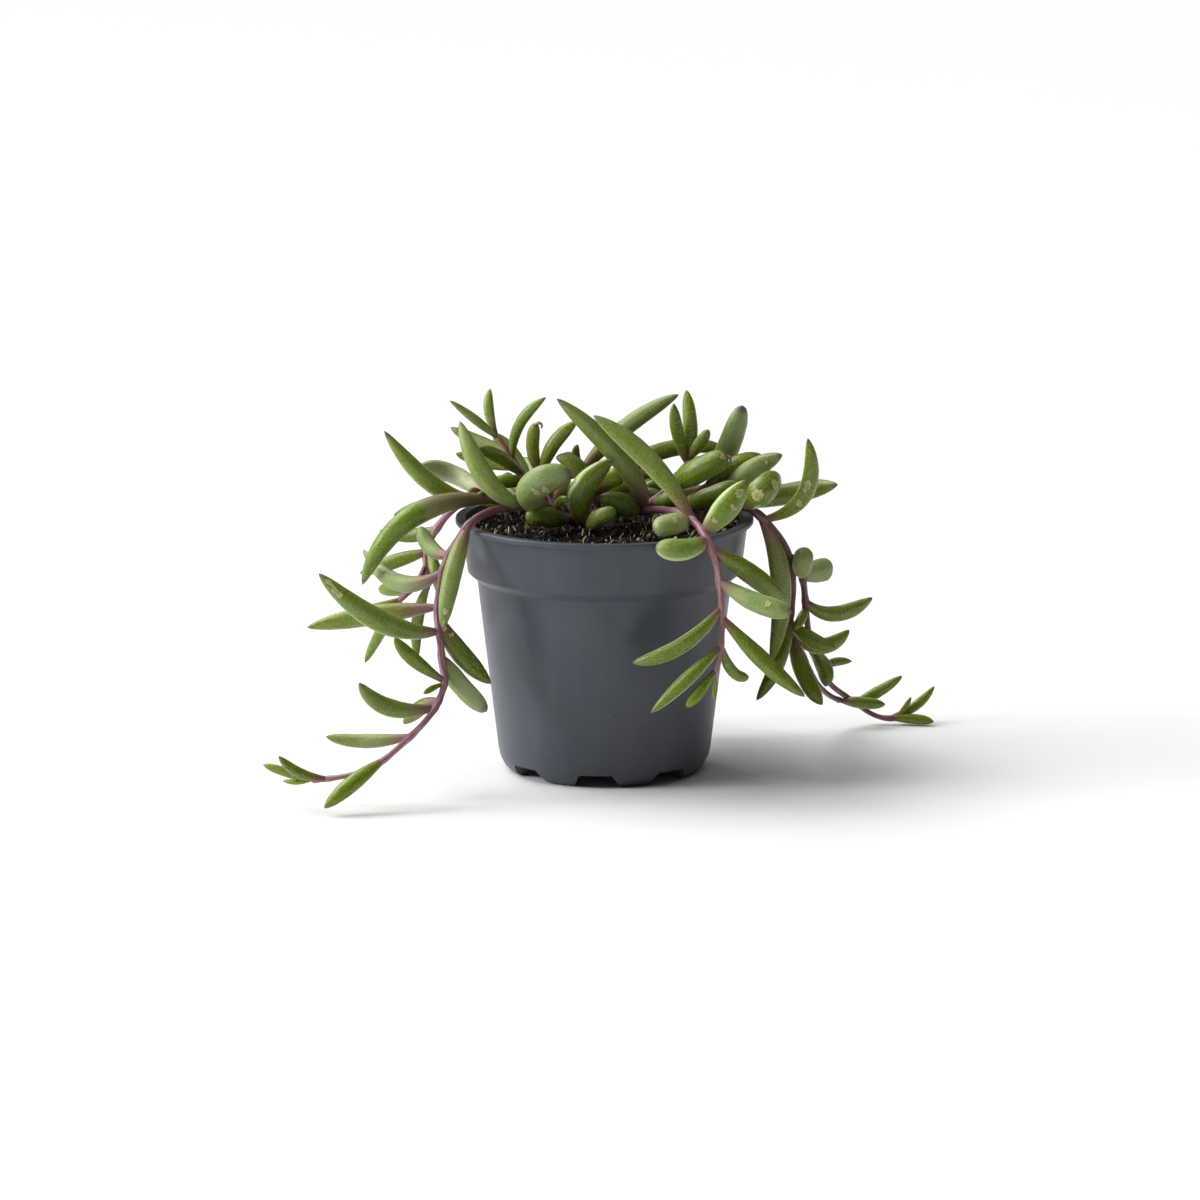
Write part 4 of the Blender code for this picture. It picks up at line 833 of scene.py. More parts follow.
def left_shoot():
    """The stem that leaves the pot at the left, behind the long bowed leaf."""
    s = Shoot("stem_left", (-22.0, 4.0), colour=0.25)
    s.stem(1.35, 0.9, [
        (-24.5, 80.4, 4), (-29, 82.2, 4), (-34, 83.0, 3.5), (-39, 83.6, 3), (-43.8, 82.2, 3),
        (-48.0, 78.9, 3.5), (-51.4, 74.8, 4.5), (-54.2, 70, 5.5), (-55.5, 65.5, 6),
        (-55.2, 61, 6), (-54.4, 56, 5.5),
    ])
    s.branch((-55.3, 62.5), 0.9, 0.7, [(-57.6, 58, 5), (-60.2, 54.6, 4), (-64.5, 51, 3)])
    s.leaf(
        (-33, 82.8), (-59.4, 77.6, -11), (-75.2, 56.5, -15), 6.9,
        bloom=0.1, blush=0.25, warmth=0.2, rim=0.4, dull=0.44, groove=0.0,
    )
    # On this high leaf the grey waxy coat is raised and no darkness is added, which paints a highlight;
    # its bright margin line is a painted rim highlight.
    s.leaf(
        (-39, 83.6), (-53.0, 87.3, -3), (-68.4, 104.2, -4), 5.6,
        bloom=0.4, rim=0.95, groove=0.2, deep=0.0,
    )
    s.leaf(
        (-36.5, 83.3), (-46.2, 90.4, 7), (-57.4, 93.0, 9), 6.2, blunt=True,
        faded=1.0, bloom=0.6, warmth=0.5, blush=0.2, scars=((0.9, 0.2, 0.03), (0.7, -0.3, 0.03)),
    )
    s.leaf((-37.5, 83.4), (-39.6, 85.6, -1), (-42.3, 85.4, -3), 1.9, blunt=True, blush=1.0, bloom=0.4)
    s.leaf((-34.6, 83.0), (-37.6, 84.6, -4), (-40.6, 82.6, -5), 2.2, blunt=True, blush=1.0, bloom=0.6)
    s.leaf((-43.8, 82), (-55.0, 80.8, 7), (-65.4, 77.9, 9), 4.6)
    s.leaf((-51.8, 74), (-60.0, 71.7, 5), (-69.8, 73.4, 8), 4.6)
    s.leaf((-55.3, 66.5), (-64.5, 63.9, 2), (-75.9, 60.0, 4), 4.7)
    s.leaf((-54.9, 68), (-52.4, 60.5, -5), (-51.0, 53.0, -8), 3.8)
    s.leaf((-60, 54.9), (-64.5, 54.9, 6), (-70.0, 55.2, 12), 4.2, blunt=True)
    s.leaf((-63.5, 51.8), (-71.0, 49.0, -1), (-79.5, 47.6, 1), 3.6)
    s.leaf((-63, 52.2), (-68.9, 42.9, 7), (-74.4, 32.2, 10), 3.6)
    s.leaf((-54.5, 56.8), (-58.0, 46.0, 3), (-58.2, 33.2, 4), 3.9)
    return s


def left_upright_shoot():
    """The slender upright shoot at the left, with its fan of narrow leaves."""
    s = Shoot("shoot_left", (-16.5, 12.0), colour=0.15)
    s.stem(1.2, 0.8, [
        (-17.6, 81.5, 12), (-20.8, 85.2, 10.5), (-24.6, 89.4, 9), (-28.2, 94.6, 8),
        (-31.4, 99.6, 7), (-33.6, 103.0, 6.5),
    ])
    s.leaf(
        (-33.5, 102.8), (-35.9, 110.4, 2), (-35.5, 117.3, 4), 3.3,
        warmth=0.3, bloom=0.2, deep=0.0, faded=0.3,
    )
    s.leaf(
        (-32.8, 101.8), (-39.6, 107.3, -3), (-48.0, 113.6, -5), 3.0,
        warmth=0.3, bloom=0.2, deep=0.0, faded=0.35,
    )
    s.leaf(
        (-28.4, 95), (-26.4, 106.2, -4), (-18.2, 114.6, -6), 3.6,
        warmth=0.2, bloom=0.2, deep=0.0, faded=0.15,
    )
    s.leaf((-25.6, 90.8), (-32.7, 96.0, -9), (-39.2, 98.6, -22), 4.8)
    s.leaf((-23.6, 88.4), (-29.5, 88.6, -1), (-35.6, 88.2, -1), 4.4)
    s.leaf((-22.6, 87.4), (-28.2, 95.6, 8), (-34.6, 103.6, 10), 5.8, bloom=0.4, warmth=0.5)
    s.leaf((-30, 97.5), (-38.4, 100.6, 2), (-47.9, 105.4, 3), 4.4, point=1.0, bloom=0.5)
    s.leaf((-27, 92.6), (-37.0, 94.6, 5), (-46.2, 97.2, 6), 4.2)
    return s


def left_middle_shoot():
    """A short shoot behind the fat leaf at the left, with one leaf that has lost its tip."""
    s = Shoot("shoot_left_middle", (-13.5, 3.5), colour=0.5)
    s.stem(1.2, 0.95, [(-16.2, 83, 2), (-18.8, 87.6, 1), (-20.3, 91.6, 0)])
    s.leaf(
        (-20.1, 91), (-22.3, 98.6, 0), (-21.2, 106.6, -2), 4.3, blunt=True,
        warmth=0.85, point=1.0, blush=0.3, bloom=0.1, curl=1.0,
    )
    s.leaf((-19.6, 89.8), (-16.2, 99.4, -2), (-8.4, 107.2, -3), 4.5)
    s.leaf((-15.6, 82), (-9.0, 86.5, 2), (-2.2, 88.2, 4), 4.6, deep=0.7, bloom=0.25)
    return s


def front_middle_shoot():
    """The low cluster at the front, that the banana-shaped leaf stands up from."""
    s = Shoot("shoot_front", (-5.0, -13.5), colour=0.6)
    s.stem(1.25, 0.9, [(-5.2, 75.8, -13), (-5.0, 80.0, -9), (-4.6, 84.0, -5)])
    s.leaf(
        (-5.2, 73.8), (-7.3, 84.8, -3), (2.8, 95.3, -2), 8.2,
        bloom=0.1, deep=0.6, rim=0.8, groove=0.0,
    )
    s.leaf((-5.1, 73.4), (-1.9, 76.9, -9), (3.6, 79.2, -11), 5.4, blunt=True, bloom=0.25, deep=0.5)
    s.leaf((-4.7, 83), (-8.4, 92.6, 3), (-15.1, 95.9, 4), 5.7)
    s.leaf(
        (-4.6, 84), (0.2, 88.6, -3), (6.6, 90.2, -3), 6.3,
        blunt=True, warmth=1.0, blush=0.5, bloom=0.0,
    )
    return s


def front_right_shoot():
    """The stem that bows over the rim at the front right and hangs in front of the pot."""
    s = Shoot("stem_front_right", (6.0, 3.0), colour=0.2)
    s.stem(1.35, 0.7, [
        (7.6, 79.6, -1), (11.4, 79.4, -7), (16, 79.8, -14), (21, 79.3, -22), (25.2, 77.8, -29),
        (28.4, 75.4, -33.6), (30.4, 73.0, -37.2), (32.4, 69.6, -40), (33.8, 65.6, -41.2),
        (35.2, 60, -42), (36, 54, -42.6), (36.4, 48, -43.2), (36.5, 42, -43.8),
        (36.1, 36.5, -44.4), (35, 31.5, -45), (33.6, 27.6, -45.4),
    ])
    s.leaf((11.6, 79.4), (5.5, 81.2, -5), (-1.4, 83.9, -8), 7.0, bloom=0.25, deep=0.6)
    s.leaf((12.6, 79.6), (5.2, 94.9, -1), (-14.8, 114.2, -5), 6.6, bloom=0.45, blush=0.42, groove=0.2)
    s.leaf(
        (27.4, 76.4), (14.8, 93.9, 9), (-3.4, 109.0, 15), 6.6,
        bloom=0.35, blush=0.24, rim=0.8, groove=0.5,
    )
    s.leaf((22, 78.9), (19.6, 78.0, -3), (17.2, 77.6, -5), 1.6, blush=1.0)
    s.leaf(
        # This leaf lies in the shade of others; its paler colour is painted light.
        (26.6, 76.9), (21.2, 73.4, -4), (15.0, 72.6, -6), 7.2, blunt=True,
        bloom=0.7, faded=0.35, rim=0.7, scars=((0.5, 0.1, 0.05),),
    )
    s.leaf((31.8, 71), (24.6, 67.4, -6), (16.0, 68.6, -7), 7.0, blunt=True, bloom=0.5, rim=1.0, deep=0.0)
    s.leaf(
        (30.6, 72.6), (37.2, 79.6, 1), (44.3, 88.9, 4), 8.0,
        bloom=0.2, rim=0.95, scars=((0.8, 0.1, 0.07), (0.6, -0.2, 0.03), (0.28, 0.3, 0.035)),
    )
    s.leaf((33.2, 67.8), (44.6, 60.3, 3), (57.2, 50.4, 8), 6.2)
    s.leaf(
        (35.6, 58), (47.0, 51.0, -6), (58.0, 48.0, -9), 6.2, blunt=True,
        bloom=0.9, rim=0.8, scars=((0.68, 0.3, 0.035),),
    )
    s.leaf((36.5, 46.5), (48.9, 33.2, -3), (62.2, 21.7, -5), 5.2)
    s.leaf((36.3, 49.5), (24.0, 37.6, -4), (8.7, 32.2, -1), 5.0, rim=1.0, bloom=0.1, deep=0.5)
    s.leaf((36.1, 37), (26.2, 27.6, -5), (14.4, 16.6, -6), 4.2, rim=1.0, bloom=0.1, deep=0.4)
    s.leaf((34.4, 29.8), (29.4, 23.2, -4), (25.5, 18.4, -6), 3.7)
    s.leaf((33.9, 28.4), (34.3, 24.6, 2), (33.6, 21.0, 3), 1.8)
    s.leaf((36.2, 38), (39.6, 29.8, 3), (44.8, 27.8, 4), 3.6, blunt=True)
    return s


def right_upright_shoot():
    """The upright shoot right of the middle: three narrow leaves and a thick one with a torn tip."""
    s = Shoot("shoot_right", (11.5, 10.0), colour=0.4)
    s.stem(1.2, 0.9, [
        (13.8, 81.2, 9), (18.2, 85.0, 8), (22.4, 89.0, 7), (25.2, 93.0, 6), (26.4, 96.0, 6),
    ])
    s.leaf((25.6, 94), (22.7, 103.4, -2), (21.5, 112.8, -3), 4.0)
    s.leaf((26.4, 96), (26.6, 106.0, 1), (25.4, 116.9, 3), 4.8)
    s.leaf((26.2, 95.4), (29.7, 100.4, -3), (32.4, 104.6, -4), 4.0)
    s.leaf(
        (21, 87.6), (29.4, 92.0, -6), (38.2, 96.3, -9), 8.0, blunt=True, foot=0.55,
        bloom=0.2, curl=1.1, scars=((0.93, 0.1, 0.05),),
    )
    s.leaf((15, 82.4), (20.4, 83.2, -2), (26.4, 84.8, -2), 4.8)
    return s


def back_upright_shoot():
    """The shoot at the back whose leaves show over the middle of the plant."""
    s = Shoot("shoot_back", (-2.0, 19.0), colour=0.5)
    s.stem(1.25, 0.95, [(-3.4, 83.4, 18), (-5.4, 88.2, 16), (-7.4, 92.6, 14)])
    s.leaf((-7.0, 91.6), (5.6, 104.6, 0), (23.0, 115.5, -2), 5.8, bloom=0.75, blush=0.26, deep=0.5)
    s.leaf((-4.2, 85.4), (16.0, 97.4, 12), (36.8, 98.8, 14), 5.4, blunt=True, bloom=0.05, deep=0.9)
    s.leaf((-3.2, 83.2), (3.8, 85.6, 3), (10.4, 89.2, 4), 5.0, warmth=0.8)
    s.leaf((-4.4, 86), (6.4, 89.8, 8), (17.6, 91.6, 9), 4.6, warmth=0.8, bloom=0.5)
    s.leaf((-7.3, 92.4), (-8.9, 96.2, -3), (-8.3, 100.0, -5), 2.8, blush=1.0, point=1.0)
    s.leaf((-6.2, 90.4), (-15.5, 91.4, 9), (-24.5, 90.0, 15), 5.2)
    return s


def right_middle_shoot():
    """The crowded shoot at the right, with a tall club-shaped leaf."""
    s = Shoot("shoot_right_middle", (22.5, -2.0), colour=0.3)
    s.stem(1.35, 1.0, [(24.4, 79.6, -1.5), (27.6, 84.0, 0.5), (31.0, 86.4, 2), (34.2, 88.4, 3)])
    s.leaf((33, 87.8), (38.2, 98.4, 2), (42.8, 112.0, 4), 7.6, blunt=True, bloom=0.85, blush=0.2)
    s.leaf((32, 87), (39.4, 92.8, 0), (48.8, 96.8, 2), 6.0)
    s.leaf((25.4, 81.4), (32.6, 83.4, -4), (41.4, 88.2, -5), 6.6, bloom=0.0, deep=0.8, rim=0.9)
    return s


def right_shoot():
    """The stem that leaves the pot at the right, forks and trails down to the floor behind."""
    s = Shoot("stem_right", (31.0, 4.0), colour=0.85)
    s.stem(1.35, 0.85, [
        (33.6, 80.8, 2), (37.6, 81.8, 0), (41.8, 81.2, -1.6), (45.4, 79.9, -2.4),
        (48.6, 77.5, -1.6), (51.8, 74.2, -0.2), (54.8, 70.4, 1.6), (57, 66.2, 3.6), (58.2, 61, 6),
        (58.5, 55.5, 8.4), (58.1, 49.5, 11), (57.4, 43.5, 14.4), (58.6, 39.4, 18.4),
        (61.2, 35.6, 24), (63.2, 31, 32), (66, 25.8, 42.6), (69.4, 22.4, 51.6), (73.2, 20.5, 58),
    ])
    s.branch((57.2, 65.8), 1.1, 0.75, [
        (60.2, 63.2, 7), (61.6, 58, 10), (62.3, 52, 13.6), (62.8, 46, 18.6), (63.6, 40, 25.6),
        (65, 34.4, 34.4), (67.6, 29, 44.4), (71, 24.8, 52.6), (75, 21.8, 58), (78.4, 19.4, 60.5),
        (82.4, 16.6, 61.5), (86.4, 15.1, 61), (90.5, 14.9, 60),
    ])
    s.leaf(
        (36.5, 81.6), (44.2, 90.6, -6), (55.2, 96.8, -8), 6.9,
        bloom=0.75, scars=((0.82, 0.0, 0.015),),
    )
    s.leaf(
        (42.6, 80.9), (48.2, 84.9, -6), (53.4, 90.4, -8), 8.0, blunt=True,
        rim=0.6, roll=0.0, bloom=0.1, scars=((0.5, 0.1, 0.06), (0.68, -0.2, 0.05)),
    )
    s.leaf((40, 81.5), (56.0, 84.6, 3), (72.4, 87.6, 5), 6.8, deep=0.6)
    s.leaf(
        (49.4, 76.6), (62.3, 84.8, -6), (63.1, 101.9, -9), 5.3,
        rim=0.6, groove=0.4, scars=((0.6, 0.2, 0.08), (0.4, -0.1, 0.04)),
    )
    s.leaf((48.2, 77.9), (54.8, 57.0, 2), (51.6, 32.4, 4), 6.4, deep=0.7, blush=0.3, bloom=0.1)
    s.leaf((57.3, 44.8), (64.0, 39.6, -5), (71.6, 36.9, -8), 4.8)
    s.leaf((57.6, 42.2), (67.0, 37.4, 3), (76.0, 42.4, 6), 5.4)
    s.leaf((57.7, 47), (54.4, 33.4, -4), (47.2, 20.6, -6), 4.8, deep=0.8)
    s.leaf((58.3, 40.2), (61.9, 28.6, -8), (67.7, 19.2, -12), 5.6, blush=0.32)
    s.leaf((61.3, 59), (61.4, 62.6, -5), (62.3, 68.0, -8), 6.4, blunt=True, bloom=0.8, blush=0.12)
    s.leaf(
        (61.5, 58.4), (66.0, 60.7, 4), (70.6, 61.2, 7), 7.4,
        blunt=True, bloom=1.0, faded=0.4, blush=0.1,
    )
    s.leaf((62.4, 51), (71.6, 47.4, 2), (83.2, 52.5, 4), 5.2)
    s.leaf((62.5, 49.4), (61.0, 45.6, -4), (59.0, 42.8, -7), 3.2, warmth=1.0, bloom=0.0)
    s.leaf((64.6, 36), (68.3, 30.6, -4), (68.6, 24.8, -7), 5.2)
    s.leaf((66.8, 30.6), (71.4, 32.4, 3), (76.8, 32.6, 5), 2.7)
    s.leaf((73, 20.6), (80.0, 19.8, -1), (87.2, 19.2, 0), 3.9, blush=0.35, rim=0.7)
    s.leaf((77.6, 20.2), (84.6, 23.0, 2), (92.4, 28.1, 3), 3.7)
    s.leaf((88.4, 15), (95.8, 13.9, -1), (102.2, 13.4, -2), 3.3)
    s.leaf((88.6, 15), (96.2, 18.6, 3), (102.4, 24.9, 5), 3.1)
    s.leaf((90.4, 15), (93.2, 18.2, 1), (95.2, 21.6, 2), 1.7)
    return s


def back_trailing_shoots():
    """Three stems that bow over the rim at the back and hang down behind the pot."""
    left = Shoot("stem_back_left", (-17.0, 22.0), plain)
    left.stem(1.3, 0.8, [
        (-17.4, 83, 27), (-18.2, 84.6, 34), (-19.4, 83.2, 40.6), (-20.6, 79.4, 45.4),
        (-21.6, 73.2, 48.6), (-22.4, 66, 50.2), (-23, 58, 51), (-23.4, 50, 51.8),
        (-23.6, 42, 53), (-23.2, 34.6, 55), (-22.4, 28, 58),
    ])
    left.leaf((-17.6, 83.8), (-22.6, 87.4, 6), (-27.0, 88.6, 11), 5.2)
    left.leaf((-20.8, 78.6), (-31.0, 78.6, 6), (-40.0, 70.5, 10), 5.6)
    left.leaf((-21.5, 74), (-16.0, 68.0, 11), (-13.5, 58.5, 15), 5.4)
    left.leaf((-22.2, 68), (-29.5, 60.0, 3), (-31.5, 49.0, 3), 5.0)
    left.leaf((-23, 59), (-15.5, 52.0, 3), (-10.5, 43.0, 4), 4.8)
    left.leaf((-23.2, 54.4), (-26.5, 48.5, 10), (-28.5, 39.5, 13.6), 4.8)
    left.leaf((-23.6, 44), (-29.5, 36.5, 1), (-30.5, 27.5, 1), 4.4)
    left.leaf((-23.4, 38), (-17.5, 32.0, 3), (-15.0, 23.0, 4), 4.4)
    left.leaf((-22.8, 31), (-25.5, 24.5, 5), (-27.0, 16.0, 7), 4.0)
    left.leaf((-22.4, 28.2), (-20.5, 22.5, 4), (-20.0, 15.5, 6), 3.0)

    middle = Shoot("stem_back", (-6.0, 30.0), plain)
    middle.stem(1.3, 0.8, [
        (-6.2, 83.4, 34), (-6.0, 83.8, 40), (-5.4, 80.8, 45.6), (-4.6, 74.4, 49.4),
        (-4, 66.8, 50.8), (-3.6, 59, 51.4), (-3.4, 51, 51.8), (-3.2, 43.6, 52.6),
    ])
    middle.leaf((-6.1, 83.6), (-10.5, 88.0, 8), (-13.0, 87.0, 17), 5.4)
    middle.leaf((-5, 77.4), (4.5, 77.0, 6), (13.0, 69.0, 9), 5.6)
    middle.leaf((-4.4, 72), (-8.5, 64.5, 11), (-9.0, 54.0, 14), 5.2)
    middle.leaf((-4, 66), (3.5, 58.5, 3), (6.5, 47.5, 3), 4.8)
    middle.leaf((-3.7, 60), (-9.0, 49.5, 1), (-6.0, 35.5, 1), 4.4)
    middle.leaf((-3.4, 52), (0.5, 45.5, 9), (2.0, 36.5, 12), 4.6)
    middle.leaf((-3.2, 45), (3.5, 38.0, 2), (5.5, 28.5, 2), 4.0)
    middle.leaf((-3.2, 43.8), (-4.5, 37.0, 4), (-4.0, 29.5, 5), 3.2)

    right = Shoot("stem_back_right", (21.0, 22.0), plain)
    right.stem(1.3, 0.8, [
        (21.6, 83.6, 28), (22.2, 85, 34.5), (23, 83.2, 39.6), (24, 78.8, 44),
        (25, 72, 46.8), (25.6, 64.4, 48), (26, 56.4, 48.8), (26, 48.6, 49.8),
        (25.6, 41, 51.6), (24.8, 34, 54.6), (24, 28, 58.6), (23, 22.6, 63),
    ])
    right.leaf((21.8, 84.4), (29.0, 88.5, 5), (37.0, 87.5, 9), 5.6)
    right.leaf((24.2, 77.8), (34.0, 76.0, 4), (41.0, 66.5, 6), 5.6)
    right.leaf((25, 72), (20.0, 67.5, 10), (17.0, 58.5, 14), 5.2)
    right.leaf((25.7, 64), (32.0, 56.5, 3), (33.5, 45.5, 3), 5.0)
    right.leaf((26, 57), (19.0, 50.5, 2), (15.0, 40.5, 2), 4.8)
    right.leaf((26, 51), (29.0, 44.5, 9), (30.5, 35.0, 13), 4.8)
    right.leaf((25.8, 44), (18.5, 37.5, 1), (14.5, 28.5, 2), 4.4)
    right.leaf((25, 36), (30.0, 29.0, 3), (31.5, 19.5, 4), 4.2)
    right.leaf((23.6, 25), (17.0, 20.5, 2), (11.0, 14.5, 4), 4.0)
    right.leaf((23, 22.8), (24.5, 17.5, 3), (25.0, 11.0, 5.6), 3.4)
    return [left, middle, right]


def back_low_shoots():
    """Three short shoots that creep over the soil behind the upright ones."""
    left = Shoot("shoot_low_left", (-30.0, 8.0), plain)
    left.stem(1.15, 0.8, [(-30.6, 80.6, 12), (-29.8, 81.4, 18), (-27.6, 81.2, 24), (-25.6, 80.8, 29.5)])
    left.leaf((-30.5, 80.4), (-35.5, 81.6, 2), (-41.5, 82.4, 5), 4.6)
    left.leaf((-30, 81.2), (-34.6, 82.4, 5), (-40.5, 83.4, 12), 5.2)
    left.leaf((-29.4, 81.4), (-24.0, 81.6, -1), (-19.0, 81.0, -5), 4.8, blunt=True)
    left.leaf((-28, 81.2), (-33.0, 82.6, 7), (-36.0, 83.8, 16), 4.8)
    left.leaf((-27, 81.1), (-21.8, 82.4, 0), (-17.0, 81.8, -4.5), 4.4)
    left.leaf((-26, 80.9), (-29.5, 83.0, 7), (-30.0, 84.4, 16), 5.0, blunt=True)
    left.leaf((-25.7, 80.8), (-24.2, 82.8, 7), (-24.0, 83.6, 14), 4.2)

    middle = Shoot("shoot_low_middle", (6.0, 22.0), plain)
    middle.stem(1.15, 0.8, [(6.6, 80.4, 25), (8.4, 80.8, 29), (10.4, 80.6, 33), (11.6, 80.6, 37)])
    middle.leaf((6.4, 79.6), (0.4, 80.4, 3), (-5.0, 81.2, 0), 4.6)
    middle.leaf((7.2, 80.6), (3.6, 81.6, 6), (1.0, 82.2, 13), 5.0)
    middle.leaf((8.4, 80.8), (13.0, 80.6, -1), (18.0, 80.6, -4), 4.8, blunt=True)
    middle.leaf((9.6, 80.7), (6.6, 82.2, 7), (6.4, 83.2, 15), 5.0)
    middle.leaf((10.6, 80.6), (16.0, 81.6, 3), (20.5, 81.2, 9), 4.8)
    middle.leaf((11.3, 80.6), (13.6, 83.0, 6), (13.6, 84.0, 14), 5.2, blunt=True)

    right = Shoot("shoot_low_right", (34.0, 11.0), plain)
    right.stem(1.15, 0.8, [(35.0, 80.6, 14), (36.6, 81.6, 17.5), (38.0, 82.0, 21.5), (38.4, 82.0, 25)])
    right.leaf((34.6, 80), (39.4, 82.0, -1), (45.0, 82.8, -1), 4.6)
    right.leaf((36, 81.2), (41.6, 82.8, 3), (48.2, 82.4, 6), 5.0)
    right.leaf((35.6, 81), (31.0, 81.2, 4), (28.6, 80.8, 9), 4.4, blunt=True)
    right.leaf((37.6, 81.9), (42.6, 83.4, 5), (47.6, 82.0, 11), 4.8, blunt=True)
    right.leaf((38.2, 82), (36.4, 84.2, 6), (34.6, 84.4, 12), 4.7)
    return [left, middle, right]


SHOOTS = (
    front_left_shoot, left_shoot, left_upright_shoot, left_middle_shoot, front_middle_shoot,
    front_right_shoot, right_upright_shoot, back_upright_shoot, right_middle_shoot, right_shoot,
)
shoots = [make() for make in SHOOTS] + back_trailing_shoots() + back_low_shoots()

# Where leaves would lie in each other, the plant gives way: their middles and tips are bent
# along the line of sight, until they lie side by side and clear of stems, pot, peat and floor.

GAP = 0.35                   # air kept between neighbours, mm
SOIL_ROUGHNESS = 0.55
BEND_ROUNDS = 240
PAIR_ROUNDS = 20             # rounds between two searches for leaves that lie close
BEND_STEPS = (0.16, 0.28, 0.4, 0.52, 0.64, 0.76, 0.88, 1.0)
STEM_SPACING = 1.5           # between the points of a stem that leaves are held clear of, mm
LEAF_PUSH = 0.25             # share of a lack of room that one round makes up, between leaves
STEM_PUSH = 0.4              # and between a leaf and a stem
ROUND_SHARE = 0.7
LEAST_REACH = 0.55           # keeps a point near the root from swinging the whole leaf
NEAR_ROOT = 0.3              # a leaf's foot, up to here, may lie against its own stem
RIM_ZONE = 5.0               # a leaf that far under the rim or higher passes over it, mm
LIP_ZONE = 3.0               # from the rim down, the lip is what stands out, mm
RIM_SHARE = 0.3              # of its half width, a leaf beside the lip counts as over it
SIGHT = np.array((0.0, math.cos(VIEW_TILT), -math.sin(VIEW_TILT)))


def outline_radius(height):
    """The pot's outer radius at a height, mm."""
    rim = POT_HEIGHT
    if height > rim - LIP_ZONE:
        return LIP_RADIUS
    if height > rim - CHAMFER_DROP:
        return COLLAR_TOP_RADIUS
    share = (height - BODY_BOTTOM_HEIGHT) / (rim - CHAMFER_DROP - BODY_BOTTOM_HEIGHT)
    return BODY_BOTTOM_RADIUS + (BODY_TOP_RADIUS - BODY_BOTTOM_RADIUS) * max(share, 0.0)


def close_pairs(points, others, needed, ignore):
    """The pairs that lie, across the line of sight, closer than needed, and the distance that
    each pair needs along it."""
    apart = points[:, None, :] - others[None, :, :]
    sideways = (apart**2).sum(2) - (apart @ SIGHT) ** 2
    first, second = np.nonzero((sideways < needed**2) & ~ignore)
    room = np.sqrt(needed[first, second] ** 2 - np.maximum(sideways[first, second], 0.0))
    return first, second, room


def push_apart(points, others, pairs):
    """How far along the line of sight each point has to move to clear the other that is worst."""
    first, second, room = pairs
    along = points[first] @ SIGHT - others[second] @ SIGHT
    short = room - np.abs(along)
    order = np.argsort(short)
    order = order[short[order] > 0]
    push = np.zeros(len(points))
    push[first[order]] = short[order] * np.where(along[order] >= 0, 1.0, -1.0)
    return push


def out_of_pot(points, widths):
    """How far each point has to move along the line of sight, and upwards, to clear pot and soil."""
    x, y, z = points.T
    radius = np.hypot(x, y)
    wall = np.array([outline_radius(height) for height in z]) + widths + GAP
    inner_lip = COLLAR_TOP_RADIUS - POT_WALL
    high = z > POT_HEIGHT - RIM_ZONE
    over_soil = high & (radius < inner_lip - widths)
    over_rim = high & ~over_soil & (radius < LIP_RADIUS + RIM_SHARE * widths)
    floor = np.where(over_soil, SOIL_HEIGHT + 2 * SOIL_ROUGHNESS, np.where(over_rim, POT_HEIGHT, 0.0))
    lift = np.maximum(floor + GAP + widths - z, 0.0)
    beside = ~over_soil & ~over_rim & (np.abs(x) < wall)
    room = np.sqrt(np.maximum(wall**2 - x**2, 0.0)) - np.abs(y)
    away = np.where(beside, np.maximum(room, 0.0), 0.0) * np.where(y < 0, -1.0, 1.0)
    return away / SIGHT[1], lift


